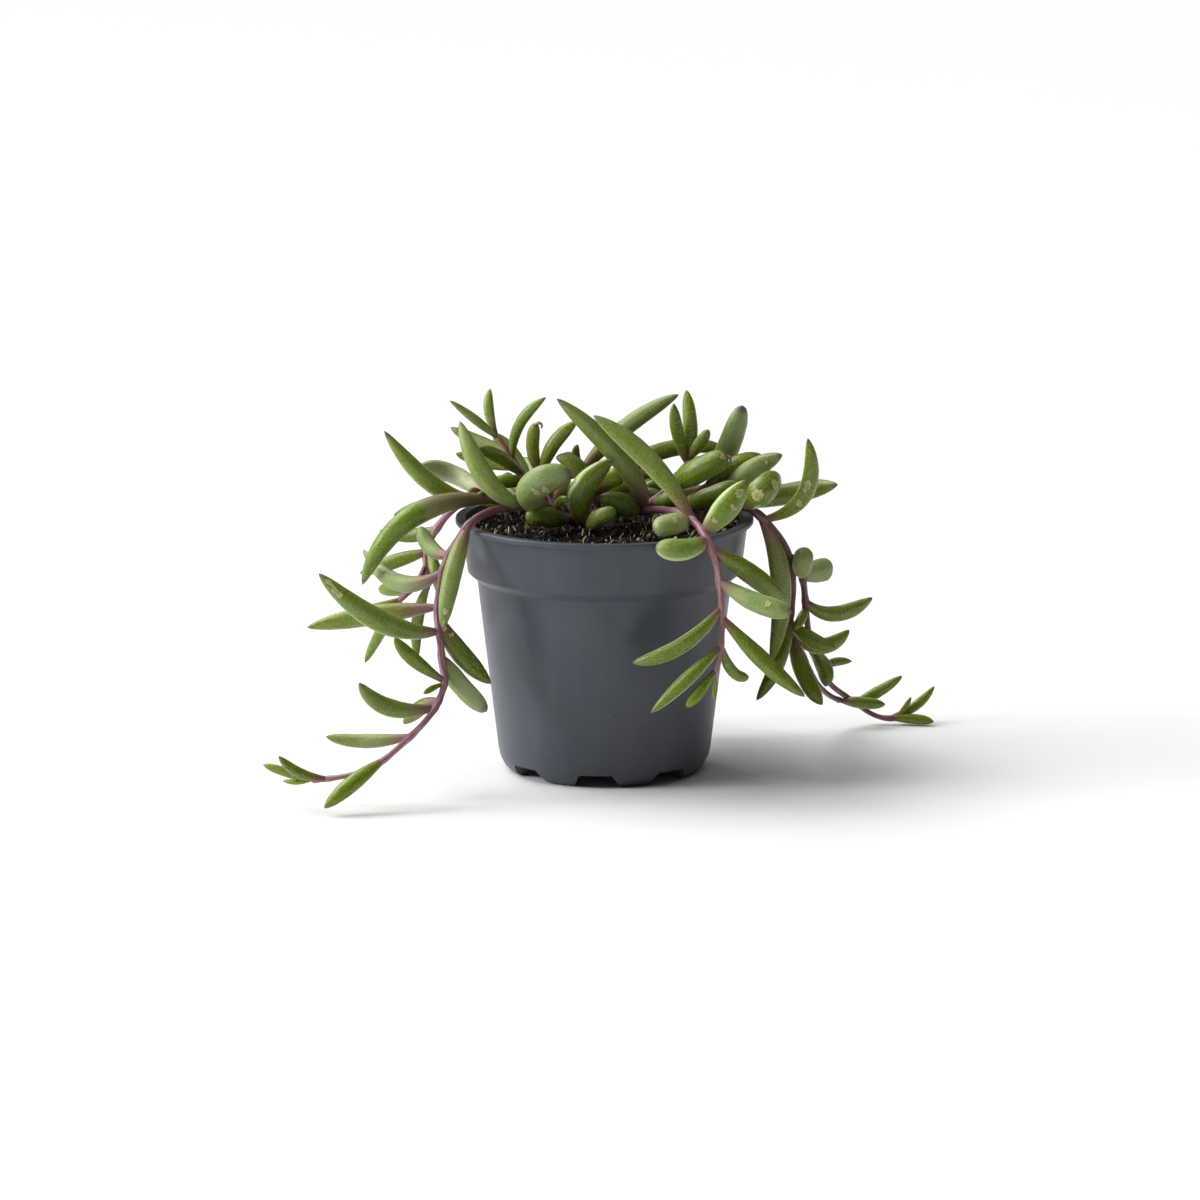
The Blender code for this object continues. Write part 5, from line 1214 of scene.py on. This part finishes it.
def bend_clear(shoots):
    """Moves the leaves' middle and tip points, along the line of sight, until leaves lie beside
    each other and not in each other. Also lifts what would lie in the pot, soil or floor."""
    leaves = [(n, leaf) for n, s in enumerate(shoots) for leaf in s.leaves]
    count = len(leaves)
    steps = np.array(BEND_STEPS)
    weights = np.stack(
        [(1 - steps) * (1 - 2 * steps), 4 * steps * (1 - steps), steps * (2 * steps - 1)], 1
    )
    widths = np.array([[leaf.half_width(t) for t in BEND_STEPS] for _, leaf in leaves]).ravel()
    middle_share = np.tile(weights[:, 1], count)
    tip_share = np.tile(weights[:, 2], count)
    reach = np.maximum(middle_share**2 + tip_share**2, LEAST_REACH)
    stem_points, stem_radii, stem_owner = [], [], []
    for n, s in enumerate(shoots):
        for points, radii in s.lines:
            for i, (a, b) in enumerate(zip(points, points[1:])):
                pieces = max(int((b - a).length / STEM_SPACING), 1)
                for k in range(pieces):
                    stem_points.append(a.lerp(b, k / pieces))
                    stem_radii.append(radii[i])
                    stem_owner.append(n)
    stem_points, stem_radii = np.array(stem_points), np.array(stem_radii)
    controls = np.array([[leaf.root, leaf.middle, leaf.tip] for _, leaf in leaves])
    near_root = np.tile(steps, count) < NEAR_ROOT
    owner = np.repeat(np.arange(count), len(steps))
    shoot_of = np.array([n for n, _ in leaves])[owner]
    one_root = (shoot_of[:, None] == shoot_of[None, :]) & (near_root[:, None] | near_root[None, :])
    one_leaf = owner[:, None] == owner[None, :]
    own_stem = (shoot_of[:, None] == np.array(stem_owner)[None, :]) & near_root[:, None]
    leaf_room = widths[:, None] + widths[None, :] + GAP
    stem_room = widths[:, None] + stem_radii[None, :] + GAP
    for turn in range(BEND_ROUNDS):
        points = np.einsum("sk,lkd->lsd", weights, controls).reshape(-1, 3)
        if turn % PAIR_ROUNDS == 0:
            leaf_pairs = close_pairs(points, points, leaf_room, one_root | one_leaf)
            stem_pairs = close_pairs(points, stem_points, stem_room, own_stem)
        away, lift = out_of_pot(points, widths)
        lift[near_root] = 0.0
        between = push_apart(points, points, leaf_pairs)
        from_stem = push_apart(points, stem_points, stem_pairs)
        move = (LEAF_PUSH * between + STEM_PUSH * from_stem + away)[:, None] * SIGHT
        move[:, 2] += lift
        for share, column in ((middle_share, 1), (tip_share, 2)):
            step = (move * (share / reach)[:, None]).reshape(count, len(steps), 3)
            strongest = np.abs(step).sum(2).argmax(1)
            controls[:, column] += step[np.arange(count), strongest] * ROUND_SHARE
    for (_, leaf), (_, middle, tip) in zip(leaves, controls):
        leaf.middle, leaf.tip = Vector(middle), Vector(tip)


bend_clear(shoots)

# The skin of stems and leaves. Geometry nodes sweep it along the drawn lines: a ribbed round for
# a stem, and a flattened round with keeled margins for a leaf, dented and swollen a little.

LEAF_RINGS = 30
LEAF_SIDES = 18
LEAF_FLATNESS = 0.8          # a leaf's thickness, as a share of its width
LEAF_KEEL = 1.12             # power that draws its margins out
LEAF_LUMPS = 0.1             # unevenness of its skin
LEAF_WAVE = 0.035            # how much its width swells and dips along it
WAVE_TURN = 6.3              # radians that one such wave takes
WAVE_COUNT = (0.7, 1.6)      # fewest and most such waves on a leaf
LEAF_TWIST = 14.0            # most that a leaf is twisted along it, to either side, degrees
LEAF_SHIFT = 900.0           # furthest that a leaf's pattern is moved along, so no two are alike
STEM_SHIFT = 400.0           # and a stem's
GROOVE_DEPTH = 0.3           # of its half width, at groove 1
GROOVE_NARROWNESS = 2.4
RING_CROWDING = 0.45         # how much closer its rings lie at foot and tip
LAST_RING = 0.9985           # where its skin closes
NEAR = 0.02                  # step along a leaf that its direction is read over
HEAD_ON = 0.9                # cosine past which a leaf points at the eye
TURN_TO_EYE = 0.3            # how fast a leaf turns its broad side to the front, a ring
FOOT_LIMIT = 1.25            # of the stem's thickness, no usual leaf's foot is wider
FOOT_REACH = 0.16            # how far along a leaf that holds
CURL_START = 0.97            # where the dry curl grows from a leaf that has lost its tip
CURL_POINTS = 9
CURL_ANGLE = 26              # degrees between two of its points
CURL_WIDTH = 0.62            # half of its width at its foot, mm
CURL_TAPER = 0.045           # how much narrower it is from point to point, mm
STEM_SIDES = 14
STEM_RIBS = 5.0
STEM_RIB_DEPTH = 0.05
STEM_LUMPS = 0.12
STEM_STEP = 1.1              # between two rings of a stem, mm
STEM_END = 0.55              # how wide its first and last rings are
NODE_SWELLING = 0.3          # how much thicker a stem is where a leaf grows from it
NODE_REACH = 1.9             # how far that swelling reaches along the stem, mm
OLD_BARK = 1.1               # how much redder a stem is at its foot
OLD_SHARE = 0.6              # of its length, up to where
YOUNG_FROM = 0.55            # of its length, from where it is young and green
YOUNG_RISE = 1.6
LEAF_GREEN = paint(120, 153, 10)
FLECK_GREEN = paint(164, 188, 64)
DEEP_GREEN = paint(60, 92, 2)
OLIVE = paint(132, 128, 24)
# The grey of the waxy coat, which also stands in for a painted soft sheen on a leaf's face.
WAX_AND_SHEEN = paint(152, 168, 120)
# The pale of a fading leaf; on a leaf in the shade of others it is painted light.
PALE_FADED_AND_LIT = paint(188, 190, 150)
DULL_BROWN = paint(146, 130, 100)
# The pale line along a leaf's margins, a painted rim highlight; the same colour is used for the real
# white dots.
PALE_RIM_HIGHLIGHT_AND_DOTS = paint(180, 194, 130)
FOOT_PURPLE = paint(124, 80, 94)
FOOT_BROWN = paint(130, 104, 70)
TIP_PURPLE = paint(108, 96, 90)
SCAR_PALE = paint(220, 214, 150)
SCAR_BROWN = paint(128, 124, 62)
SCAR_EDGE = paint(74, 80, 26)
LEAF_SHEEN = paint(222, 230, 196)
STEM_MAUVE = paint(158, 108, 122)
STEM_PINK = paint(216, 172, 184)
STEM_MAROON = paint(92, 50, 58)
STEM_DARK = paint(82, 46, 58)
STEM_TAN = paint(160, 124, 106)
STEM_YOUNG = paint(168, 148, 98)
STEM_SHEEN = paint(232, 206, 220)
FEEL = ("bloom", "blush", "warmth")   # looks that a leaf hands to its finish, three at a time
MARK = ("rim", "point", "deep")
NOTHING = (0.0, 0.0, 0.0)
FACTS = {                    # what a skin needs to know at each point of a line, and its blank
    "side": NOTHING, "half_width": 0.0, "reach": 0.0, "along": 0.0, "stem_colour": 0.0,
    "young": 0.0, "groove": 0.0, "scar": 0.0, "scar_side": 0.0, "dull": 0.0, "faded": 0.0,
    "feel": NOTHING, "mark": NOTHING, "is_leaf": False,
}


def named(tree, name, kind="FLOAT"):
    """An attribute of the geometry, in geometry nodes."""
    made = node(tree, "GeometryNodeInputNamedAttribute", {"Name": name}, data_type=kind)
    return made.outputs[0]


def parts(tree, vector):
    """The three numbers of a vector."""
    return node(tree, "ShaderNodeSeparateXYZ", {0: vector}).outputs


def store(tree, shape, name, value):
    """The shape with a vector kept at each of its points."""
    inputs = {"Geometry": shape, "Name": name, "Value": value}
    kept = node(tree, "GeometryNodeStoreNamedAttribute", inputs, data_type="FLOAT_VECTOR")
    return kept.outputs[0]


def skin_group():
    """Sweeps a round over the guide's lines, half_width wide, with side as its broad direction."""
    tree, given = new_tree(
        "skin along a line", "GeometryNodeTree",
        {
            "Guide": "Geometry", "Sides": 16, "Flatness": 1.0, "Keel": 1.0, "Ribs": 0.0,
            "Rib Depth": 0.0, "Unevenness": 0.05, "Finish": "Material",
        },
        "Skin", "Geometry",
    )
    rim = node(tree, "GeometryNodeCurvePrimitiveCircle", {"Resolution": given["Sides"], "Radius": 1.0})
    round_place = node(tree, "GeometryNodeInputPosition").outputs[0]
    marked = store(tree, rim.outputs[0], "round", round_place)
    across, up, _ = parts(tree, named(tree, "round", "FLOAT_VECTOR"))
    angle = calc(tree, "ARCTAN2", up, across)
    ribs = calc(tree, "COSINE", times(tree, angle, given["Ribs"]))
    swell = plus(tree, times(tree, ribs, given["Rib Depth"]), 1.0)
    keeled = calc(tree, "POWER", calc(tree, "ABSOLUTE", up), given["Keel"])
    height = times(tree, keeled, calc(tree, "SIGN", up), given["Flatness"], swell)
    outline = node(tree, "ShaderNodeCombineXYZ", {0: times(tree, across, swell), 1: height})
    profile = node(
        tree, "GeometryNodeSetPosition", {"Geometry": marked, "Position": outline.outputs[0]}
    )

    lines = node(tree, "GeometryNodeMeshToCurve", {"Mesh": given["Guide"]})
    faced = node(
        tree, "GeometryNodeSetCurveNormal",
        {"Curve": lines.outputs[0], "Normal": named(tree, "side", "FLOAT_VECTOR")}, mode="FREE",
    )
    half_width = named(tree, "half_width")
    swept = node(
        tree, "GeometryNodeCurveToMesh",
        {
            "Curve": faced.outputs[0], "Profile Curve": profile.outputs[0], "Scale": half_width,
            "Fill Caps": True,
        },
    )
    half = times(tree, half_width, 1 / MM)
    place = node(
        tree, "ShaderNodeCombineXYZ",
        {0: times(tree, across, half), 1: times(tree, up, half), 2: named(tree, "reach")},
    )
    kept = store(tree, swept.outputs[0], "place", place.outputs[0])
    lumps = minus(tree, clouds(tree, named(tree, "place", "FLOAT_VECTOR"), 0.28, 2.0), 0.5)
    off_middle = calc(tree, "POWER", times(tree, across, GROOVE_NARROWNESS), 2.0)
    channel = times(
        tree, calc(tree, "EXPONENT", times(tree, off_middle, -1.0)), named(tree, "groove"),
        calc(tree, "MAXIMUM", up, 0.0), GROOVE_DEPTH,
    )
    lift = minus(tree, times(tree, lumps, given["Unevenness"]), channel)
    normal = node(tree, "GeometryNodeInputNormal").outputs[0]
    skin = moved_and_finished(tree, kept, normal, times(tree, lift, half_width), given["Finish"])
    node(tree, "NodeGroupOutput", {"Skin": skin})
    return tree


def leafy_stem_tree():
    """The whole leafy stem from its guide, whose lines are marked as leaf or stem."""
    skin = skin_group()
    tree, given = new_tree(
        "leafy stem", "GeometryNodeTree",
        {
            "Guide": "Geometry", "Leaf Sides": 16, "Leaf Unevenness": 0.05,
            "Leaf Finish": "Material", "Leaf Flatness": 0.8, "Leaf Keel": 1.0, "Stem Sides": 16,
            "Stem Unevenness": 0.05, "Stem Finish": "Material", "Stem Ribs": 5.0,
            "Stem Rib Depth": 0.05,
        },
        "Piece", "Geometry",
    )
    apart = node(
        tree, "GeometryNodeSeparateGeometry",
        {"Geometry": given["Guide"], "Selection": named(tree, "is_leaf", "BOOLEAN")},
    )
    both = tree.nodes.new("GeometryNodeJoinGeometry")
    for part, source in (("Leaf", apart.outputs[0]), ("Stem", apart.outputs[1])):
        inputs = {"Guide": source}
        for name in ("Sides", "Unevenness", "Finish", "Flatness", "Keel", "Ribs", "Rib Depth"):
            if part + " " + name in given:
                inputs[name] = given[part + " " + name]
        made = node(tree, "GeometryNodeGroup", inputs, node_tree=skin)
        tree.links.new(made.outputs[0], both.inputs[0])
    whole = node(tree, "GeometryNodeRealizeInstances", {"Geometry": both.outputs[0]})
    node(tree, "NodeGroupOutput", {"Piece": whole.outputs[0]})
    return tree


def attribute(tree, name, output="Vector"):
    """An attribute of the surface, in a material."""
    return node(tree, "ShaderNodeAttribute", attribute_name=name).outputs[output]


def leaf_finish():
    """A waxy leaf: streaked green, a grey coat on its face that is also a painted sheen, purple foot
    and tip, a pale line along its margins that is a painted rim highlight, some leaves paler from
    fading and one as painted light, some darker as painted shade, corky scars and a few white dots."""
    made, tree, shader = new_material(
        "leaf", Subsurface_Weight=0.1, Subsurface_Radius=(0.6, 1.0, 0.3), Subsurface_Scale=0.0014,
        Specular_IOR_Level=0.5, Sheen_Weight=0.05, Sheen_Roughness=0.4, Sheen_Tint=LEAF_SHEEN,
    )
    place, along = attribute(tree, "place"), attribute(tree, "along", "Fac")
    across, up, _ = parts(tree, attribute(tree, "round"))
    bloom, blush, warmth = parts(tree, attribute(tree, "feel"))
    rim, tip, deep = parts(tree, attribute(tree, "mark"))
    streaks = clouds(tree, stretch(tree, place, 1.0, 1.0, 0.14), 0.9, 3.0)
    patches = clouds(tree, stretch(tree, place, 1.0, 1.0, 0.6), 0.22, 3.0)
    fine = clouds(tree, place, 1.6, 4.0, 0.7)

    # Darker streaks, and each leaf's own darkness, which on a leaf that lies in shade is painted shade.
    shade = calc(tree, "ADD", times(tree, ease(tree, streaks, 0.32, 0.68), 0.35), deep, clamp=True)
    olive = times(tree, warmth, ease(tree, patches, 0.25, 0.7, 0.45, 1.0))
    blotches = ease(tree, plus(tree, patches, times(tree, fine, 0.4)), 0.5, 0.8)
    blotches = ease(tree, blotches, 0.0, 1.0, 0.55, 1.0)
    worn = ease(tree, plus(tree, patches, times(tree, fine, 0.5)), 0.5, 0.95, 0.35, 1.0)
    # A grey waxy coat, more on the face than on the back: real, and also a painted sheen.
    wax_and_sheen = times(tree, bloom, ease(tree, up, -0.7, 0.75, 0.35, 1.0), worn)
    # The margins are a leaf's edges as the camera sees them; the pale line there is a painted rim
    # highlight.
    margin = plus(tree, calc(tree, "ABSOLUTE", across), times(tree, rim, 0.09))
    foot = plus(tree, along, times(tree, minus(tree, streaks, 0.5), 0.16))
    foot = calc(tree, "DIVIDE", foot, blush)
    purple = mix(tree, ease(tree, foot, 0.0, 0.9), FOOT_PURPLE, FOOT_BROWN)
    ragged = plus(tree, along, times(tree, minus(tree, patches, 0.5), 0.2))
    dull = minus(tree, attribute(tree, "dull", "Fac"), ragged)

    ragged = times(tree, minus(tree, clouds(tree, place, 0.9, 3.0, 0.7), 0.5), 1.1)
    off_side = plus(tree, minus(tree, across, attribute(tree, "scar_side", "Fac")), ragged)
    near = calc(tree, "EXPONENT", times(tree, calc(tree, "POWER", off_side, 2.0), -5.0))
    wound = times(
        tree, near, attribute(tree, "scar", "Fac"), ease(tree, up, -0.1, 0.3),
        ease(tree, fine, 0.3, 0.7, 0.65, 1.35),
    )
    cork = ease(tree, wound, 0.42, 0.5)
    healed = times(tree, ease(tree, wound, 0.62, 0.74), ease(tree, fine, 0.44, 0.56, 1.0, 0.3))

    tone = coated(
        tree, LEAF_GREEN,
        (shade, DEEP_GREEN),
        (olive, OLIVE),
        (ease(tree, fine, 0.5, 0.36, 0.0, 0.45), DEEP_GREEN),
        (ease(tree, fine, 0.54, 0.7, 0.0, 0.5), FLECK_GREEN),
        # Pale blotches: real fading on the withered leaf, painted light on a leaf in the shade of
        # others.
        (times(tree, attribute(tree, "faded", "Fac"), blotches), PALE_FADED_AND_LIT),
        (times(tree, wax_and_sheen, 0.75), WAX_AND_SHEEN),
        # Painted rim highlight along the margins.
        (times(tree, ease(tree, margin, 0.93, 1.04), rim), PALE_RIM_HIGHLIGHT_AND_DOTS),
        (times(tree, ease(tree, foot, 0.35, 1.35, 1.0, 0.0), 0.92), purple),
        (ease(tree, dull, -0.015, 0.025, 0.0, 0.8), DULL_BROWN),
        (times(tree, ease(tree, along, 0.935, 0.985), tip), TIP_PURPLE),
        (times(tree, ease(tree, wound, 0.3, 0.42), 0.7), SCAR_EDGE),
        (times(tree, cork, 0.78), SCAR_PALE),
        (healed, SCAR_BROWN),
        (times(tree, specks(tree, place, 0.8, 0.16, 0.03), 0.6), PALE_RIM_HIGHLIGHT_AND_DOTS),
    )
    rough = plus(tree, times(tree, wax_and_sheen, 0.8), cork)
    rough = plus(tree, rough, times(tree, minus(tree, fine, 0.5), 0.8))
    normal = bump(tree, streaks, 0.3, 0.0006, bump(tree, fine, 0.4, 0.0003))
    link(
        tree, shader, Base_Color=tone, Roughness=ease(tree, rough, -0.2, 1.0, 0.2, 0.6),
        Normal=bump(tree, cork, 0.7, 0.0004, normal),
    )
    return made


def stem_finish():
    """Mauve bark with pale and dark lines along it. It reddens with age and is tan where young."""
    made, tree, shader = new_material(
        "stem", Specular_IOR_Level=0.5, Sheen_Weight=0.12, Sheen_Roughness=0.4, Sheen_Tint=STEM_SHEEN,
    )
    place = attribute(tree, "place")
    colour = attribute(tree, "stem_colour", "Fac")
    young = attribute(tree, "young", "Fac")
    lines = clouds(tree, stretch(tree, place, 1.0, 1.0, 0.05), 1.7, 3.0)
    patches = clouds(tree, place, 0.16, 3.0)
    fine = clouds(tree, place, 2.6, 3.0)
    pale = times(tree, ease(tree, lines, 0.5, 0.72), ease(tree, colour, 0.2, 1.1, 0.75, 0.2))
    tone = coated(
        tree, STEM_MAUVE,
        (colour, STEM_MAROON),
        (pale, STEM_PINK),
        (ease(tree, lines, 0.48, 0.3, 0.0, 0.55), STEM_DARK),
        (ease(tree, patches, 0.52, 0.75, 0.0, 0.4), STEM_TAN),
        (times(tree, young, 0.75), STEM_YOUNG),
        (times(tree, specks(tree, place, 1.1, 0.15, 0.05), 0.5), STEM_PINK),
    )
    normal = bump(tree, fine, 0.25, 0.0002, bump(tree, lines, 0.5, 0.0003))
    roughness = ease(tree, lines, 0.3, 0.7, 0.5, 0.38)
    link(tree, shader, Base_Color=tone, Roughness=roughness, Normal=normal)
    return made


class Guide:
    """The lines that a skin is swept along, with what it needs to know at each of their points."""

    def __init__(self):
        self.points, self.edges = [], []
        self.facts = {name: [] for name in FACTS}

    def add(self, line, **facts):
        """A line with its facts, each one value for the whole line or a list with one a point."""
        first, count = len(self.points), len(line)
        self.points += [p * MM for p in line]
        self.edges += [(first + i, first + i + 1) for i in range(count - 1)]
        for name, blank in FACTS.items():
            values = facts.get(name, blank)
            self.facts[name] += values if isinstance(values, list) else [values] * count

    def to_object(self, name):
        mesh = bpy.data.meshes.new(name)
        mesh.from_pydata(self.points, self.edges, [])
        for key, values in self.facts.items():
            kind = {bool: "BOOLEAN", float: "FLOAT", tuple: "FLOAT_VECTOR"}[type(FACTS[key])]
            layer = mesh.attributes.new(key, kind, "POINT")
            field = "vector" if kind == "FLOAT_VECTOR" else "value"
            layer.data.foreach_set(field, np.array(values).ravel())
        made = bpy.data.objects.new(name, mesh)
        bpy.context.scene.collection.objects.link(made)
        return made


def through(points, radii, step):
    """A smooth line through the points, with a point every step or so, and its radii."""
    line, sizes = [], []
    last = len(points) - 1
    for i in range(last):
        before, after = points[max(i - 1, 0)], points[min(i + 2, last)]
        a, b = points[i], points[i + 1]
        count = max(round((b - a).length / step), 1)
        for k in range(count):
            t = k / count
            place = a * 2 + (b - before) * t
            place += (before * 2 - a * 5 + b * 4 - after) * t**2
            place += (a * 3 - before - b * 3 + after) * t**3
            line.append(place * 0.5)
            sizes.append(radii[i] + (radii[i + 1] - radii[i]) * t)
    return line + [points[-1]], sizes + [radii[-1]]


def add_stem(guide, shoot, points, radii):
    """A stem's line, swollen where leaves grow from it, and redder towards its foot."""
    line, sizes = through(points, radii, STEM_STEP)
    roots = [leaf.root for leaf in shoot.leaves]
    swollen, sides, reach = [], [], []
    over, gone = Vector((0.0, 1.0, 0.0)), shoot.chance.uniform(0, STEM_SHIFT)
    for i, p in enumerate(line):
        near = max((math.exp(-(((p - r).length / NODE_REACH) ** 2)) for r in roots), default=0.0)
        swollen.append(float(sizes[i] * (1 + NODE_SWELLING * near) * MM))
        ahead = line[min(i + 1, len(line) - 1)] - line[max(i - 1, 0)]
        side = over.cross(ahead).normalized()
        over = ahead.cross(side).normalized()
        sides.append(tuple(side))
        gone += (p - line[max(i - 1, 0)]).length
        reach.append(float(gone))
    for end in (0, -1):
        swollen[end] *= STEM_END
    share = [i / (len(line) - 1) for i in range(len(line))]
    greening = YOUNG_RISE * (1 - shoot.colour) * shoot.youth()
    guide.add(
        line, side=sides, half_width=swollen, reach=reach, along=share,
        stem_colour=[min(shoot.colour + OLD_BARK * max(1 - s / OLD_SHARE, 0.0), 1.0) for s in share],
        young=[max(s - YOUNG_FROM, 0.0) * greening for s in share],
    )


def add_dry_curl(guide, start, ahead, side, size):
    """The dried strip that a broken tip leaves behind, curled to one side."""
    turns = [math.radians(CURL_ANGLE * k) for k in range(CURL_POINTS)]
    line = [start + (ahead * math.sin(a) + side * (1 - math.cos(a))) * size for a in turns]
    guide.add(
        line, side=tuple(ahead.cross(side)), young=1.0,
        half_width=[(CURL_WIDTH - CURL_TAPER * k) * MM for k in range(CURL_POINTS)],
        reach=[float(k) for k in range(CURL_POINTS)],
        along=[k / CURL_POINTS for k in range(CURL_POINTS)],
    )


def add_leaf(guide, shoot, leaf):
    """A leaf's line, closer at foot and tip. Its width swells and dips a little along it."""
    looks, draw = leaf.looks, shoot.chance.uniform
    steps = [0.5 - 0.5 * math.cos(math.pi * (k / LEAF_RINGS)) for k in range(LEAF_RINGS + 1)]
    steps = [RING_CROWDING * s + (1 - RING_CROWDING) * k / LEAF_RINGS for k, s in enumerate(steps)]
    to_eye = Vector((0.0, -math.cos(VIEW_TILT), math.sin(VIEW_TILT)))
    span = (leaf.point(1.0) - leaf.point(0.0)).normalized()
    face = to_eye if abs(span.dot(to_eye)) < HEAD_ON else Vector((0.0, 0.0, 1.0))
    side = face.cross(span)
    wave, phase = draw(*WAVE_COUNT), draw(0, WAVE_TURN)
    shift, twist = draw(0, LEAF_SHIFT), draw(-LEAF_TWIST, LEAF_TWIST)
    stem_limit = 1.0
    if leaf.foot == FOOT_WIDTH:
        stem_limit = FOOT_LIMIT * shoot.lines[0][1][-1] / (leaf.width / 2)
    line, sides, sizes, scar, scar_side = [], [], [], [], []
    for t in steps:
        ahead = (leaf.point(t + NEAR) - leaf.point(t - NEAR)).normalized()
        side = side - ahead * side.dot(ahead) + face.cross(ahead) * TURN_TO_EYE
        side = (side - ahead * side.dot(ahead)).normalized()
        roll = math.radians(looks["roll"] + twist * t)
        sides.append(tuple(side * math.cos(roll) + ahead.cross(side) * math.sin(roll)))
        half = leaf.half_width(min(t, LAST_RING))
        half *= 1 + LEAF_WAVE * math.sin(phase + WAVE_TURN * wave * t)
        foot = min(t / FOOT_REACH, 1.0)
        half *= 1 - max(1 - stem_limit / leaf.foot, 0.0) * (1 - foot) ** 2
        sizes.append(float(half * MM))
        line.append(leaf.point(t))
        best, where = 0.0, 0.0
        for at, across, size in looks["scars"]:
            strength = math.exp(-(((t - at) / size) ** 2))
            if strength > best:
                best, where = strength, float(across)
        scar.append(best)
        scar_side.append(where)
    guide.add(
        line, side=sides, half_width=sizes, along=steps, scar=scar, scar_side=scar_side,
        reach=[shift + t * leaf.length() for t in steps],
        groove=[looks["groove"] * math.sin(math.pi * t) ** 0.5 for t in steps],
        dull=looks["dull"], faded=looks["faded"], feel=tuple(looks[k] for k in FEEL),
        mark=tuple(looks[k] for k in MARK), is_leaf=True,
    )
    if looks["curl"]:
        add_dry_curl(guide, leaf.point(CURL_START), ahead, -side, looks["curl"])


LEAFY_STEM = leafy_stem_tree()
LEAF, STEM = leaf_finish(), stem_finish()
for shoot in shoots:
    guide = Guide()
    for points, radii in shoot.lines:
        add_stem(guide, shoot, points, radii)
    for leaf in shoot.leaves:
        add_leaf(guide, shoot, leaf)
    piece = guide.to_object("leafy_" + shoot.name)
    change = piece.modifiers.new("skin", "NODES")
    change.node_group = LEAFY_STEM
    set_inputs(change, LEAFY_STEM, {
        "Leaf Sides": LEAF_SIDES, "Leaf Unevenness": LEAF_LUMPS, "Leaf Finish": LEAF,
        "Leaf Flatness": LEAF_FLATNESS, "Leaf Keel": LEAF_KEEL,
        "Stem Sides": STEM_SIDES, "Stem Unevenness": STEM_LUMPS, "Stem Finish": STEM,
        "Stem Ribs": STEM_RIBS, "Stem Rib Depth": STEM_RIB_DEPTH,
    })
    bake_shape(piece)
    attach(piece, "root")
    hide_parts(shoot.name)

# The studio: a plain white floor that runs on to the back, two broad even lights from the left
# and from behind it, a dimmer one overhead, a small one at the left, and a room round it all that
# is white to look at and sheds little light.

FLOOR_REACH = 14.0           # m
FLOOR_DROP = 0.02            # mm that it lies below the feet, so that no two faces share a place
FLOOR_WHITE = (0.9, 0.9, 0.905, 1.0)
DAYLIGHT = (1.0, 0.995, 0.985)
COOL_LIGHT = (0.99, 0.995, 1.0)
PLAIN_WHITE = (1.0, 1.0, 1.0)
ROOM_LIGHT = 0.05

bm = bmesh.new()
bmesh.ops.create_grid(bm, x_segments=1, y_segments=1, size=FLOOR_REACH / MM)
white = new_material("floor", Base_Color=FLOOR_WHITE, Roughness=0.7, Specular_IOR_Level=0.2)[0]
floor = new_piece("floor", bm, white)
floor.data.transform(Matrix.Translation((0.0, 0.0, -FLOOR_DROP * MM)))


def put(name, data, place, direction):
    """A light or a camera at a place, looking in a direction."""
    made = bpy.data.objects.new(name, data)
    bpy.context.scene.collection.objects.link(made)
    made.location = place
    made.rotation_mode = "QUATERNION"
    made.rotation_quaternion = direction.to_track_quat("-Z", "Y")
    return made


def soft_light(name, place, target, size, power, colour):
    data = bpy.data.lights.new(name, "AREA")
    data.shape, data.size, data.energy, data.color = "DISK", size, power, colour
    put(name, data, place, Vector(target) - Vector(place))


def daylight(name, azimuth, height, spread, strength, colour):
    """A broad even light from afar: azimuth is counted in degrees from the left to the back."""
    data = bpy.data.lights.new(name, "SUN")
    data.angle, data.energy, data.color = math.radians(spread), strength, colour
    turn, lift = math.radians(azimuth), math.radians(height)
    away = Vector((-math.cos(turn), math.sin(turn), math.tan(lift))).normalized()
    put(name, data, (0.0, 0.0, 0.0), -away)


daylight("key from the left", -6.0, 46.0, 44.0, 1.72, DAYLIGHT)
daylight("key from behind", 42.0, 49.0, 44.0, 2.02, DAYLIGHT)
daylight("overhead", 90.0, 84.0, 80.0, 0.6, PLAIN_WHITE)
soft_light("side", (-1.65, -0.25, 0.65), (0.0, 0.0, 0.06), 0.45, 17.0, COOL_LIGHT)

world = bpy.data.worlds.new("white room")
world.use_nodes = True
room = world.node_tree.nodes["Background"]
room.inputs["Color"].default_value = PLAIN_WHITE + (1.0,)
seen_straight = node(world.node_tree, "ShaderNodeLightPath").outputs["Is Camera Ray"]
world.node_tree.links.new(
    ease(world.node_tree, seen_straight, 0.0, 1.0, ROOM_LIGHT, 1.0), room.inputs["Strength"]
)
bpy.context.scene.world = world
bpy.context.scene.view_settings.view_transform = "Standard"

# The camera: the photograph's view, a little down from straight in front, and from so far away
# that near and far leaves keep their sizes.

CAMERA_DISTANCE = VIEW_DISTANCE * MM
CAMERA_REACH = 40.0          # m, past the floor's far edge
FRAME_WIDTH = 1.2 / 3.22     # m across the picture's 1200 pixels, where 3.22 pixels are 1 mm
SENSOR = 36.0

back = Vector((0.0, -math.cos(VIEW_TILT), math.sin(VIEW_TILT)))
up = Vector((0.0, math.sin(VIEW_TILT), math.cos(VIEW_TILT)))
aim = Vector((1.0, 0.0, 0.0)) * VIEW_CENTRE_ACROSS * MM + up * VIEW_CENTRE_UP * MM
camera = put("camera", bpy.data.cameras.new("camera"), aim + back * CAMERA_DISTANCE, -back)
camera.data.sensor_width = SENSOR
camera.data.lens = SENSOR * CAMERA_DISTANCE / FRAME_WIDTH
camera.data.clip_end = CAMERA_REACH
bpy.context.scene.camera = camera
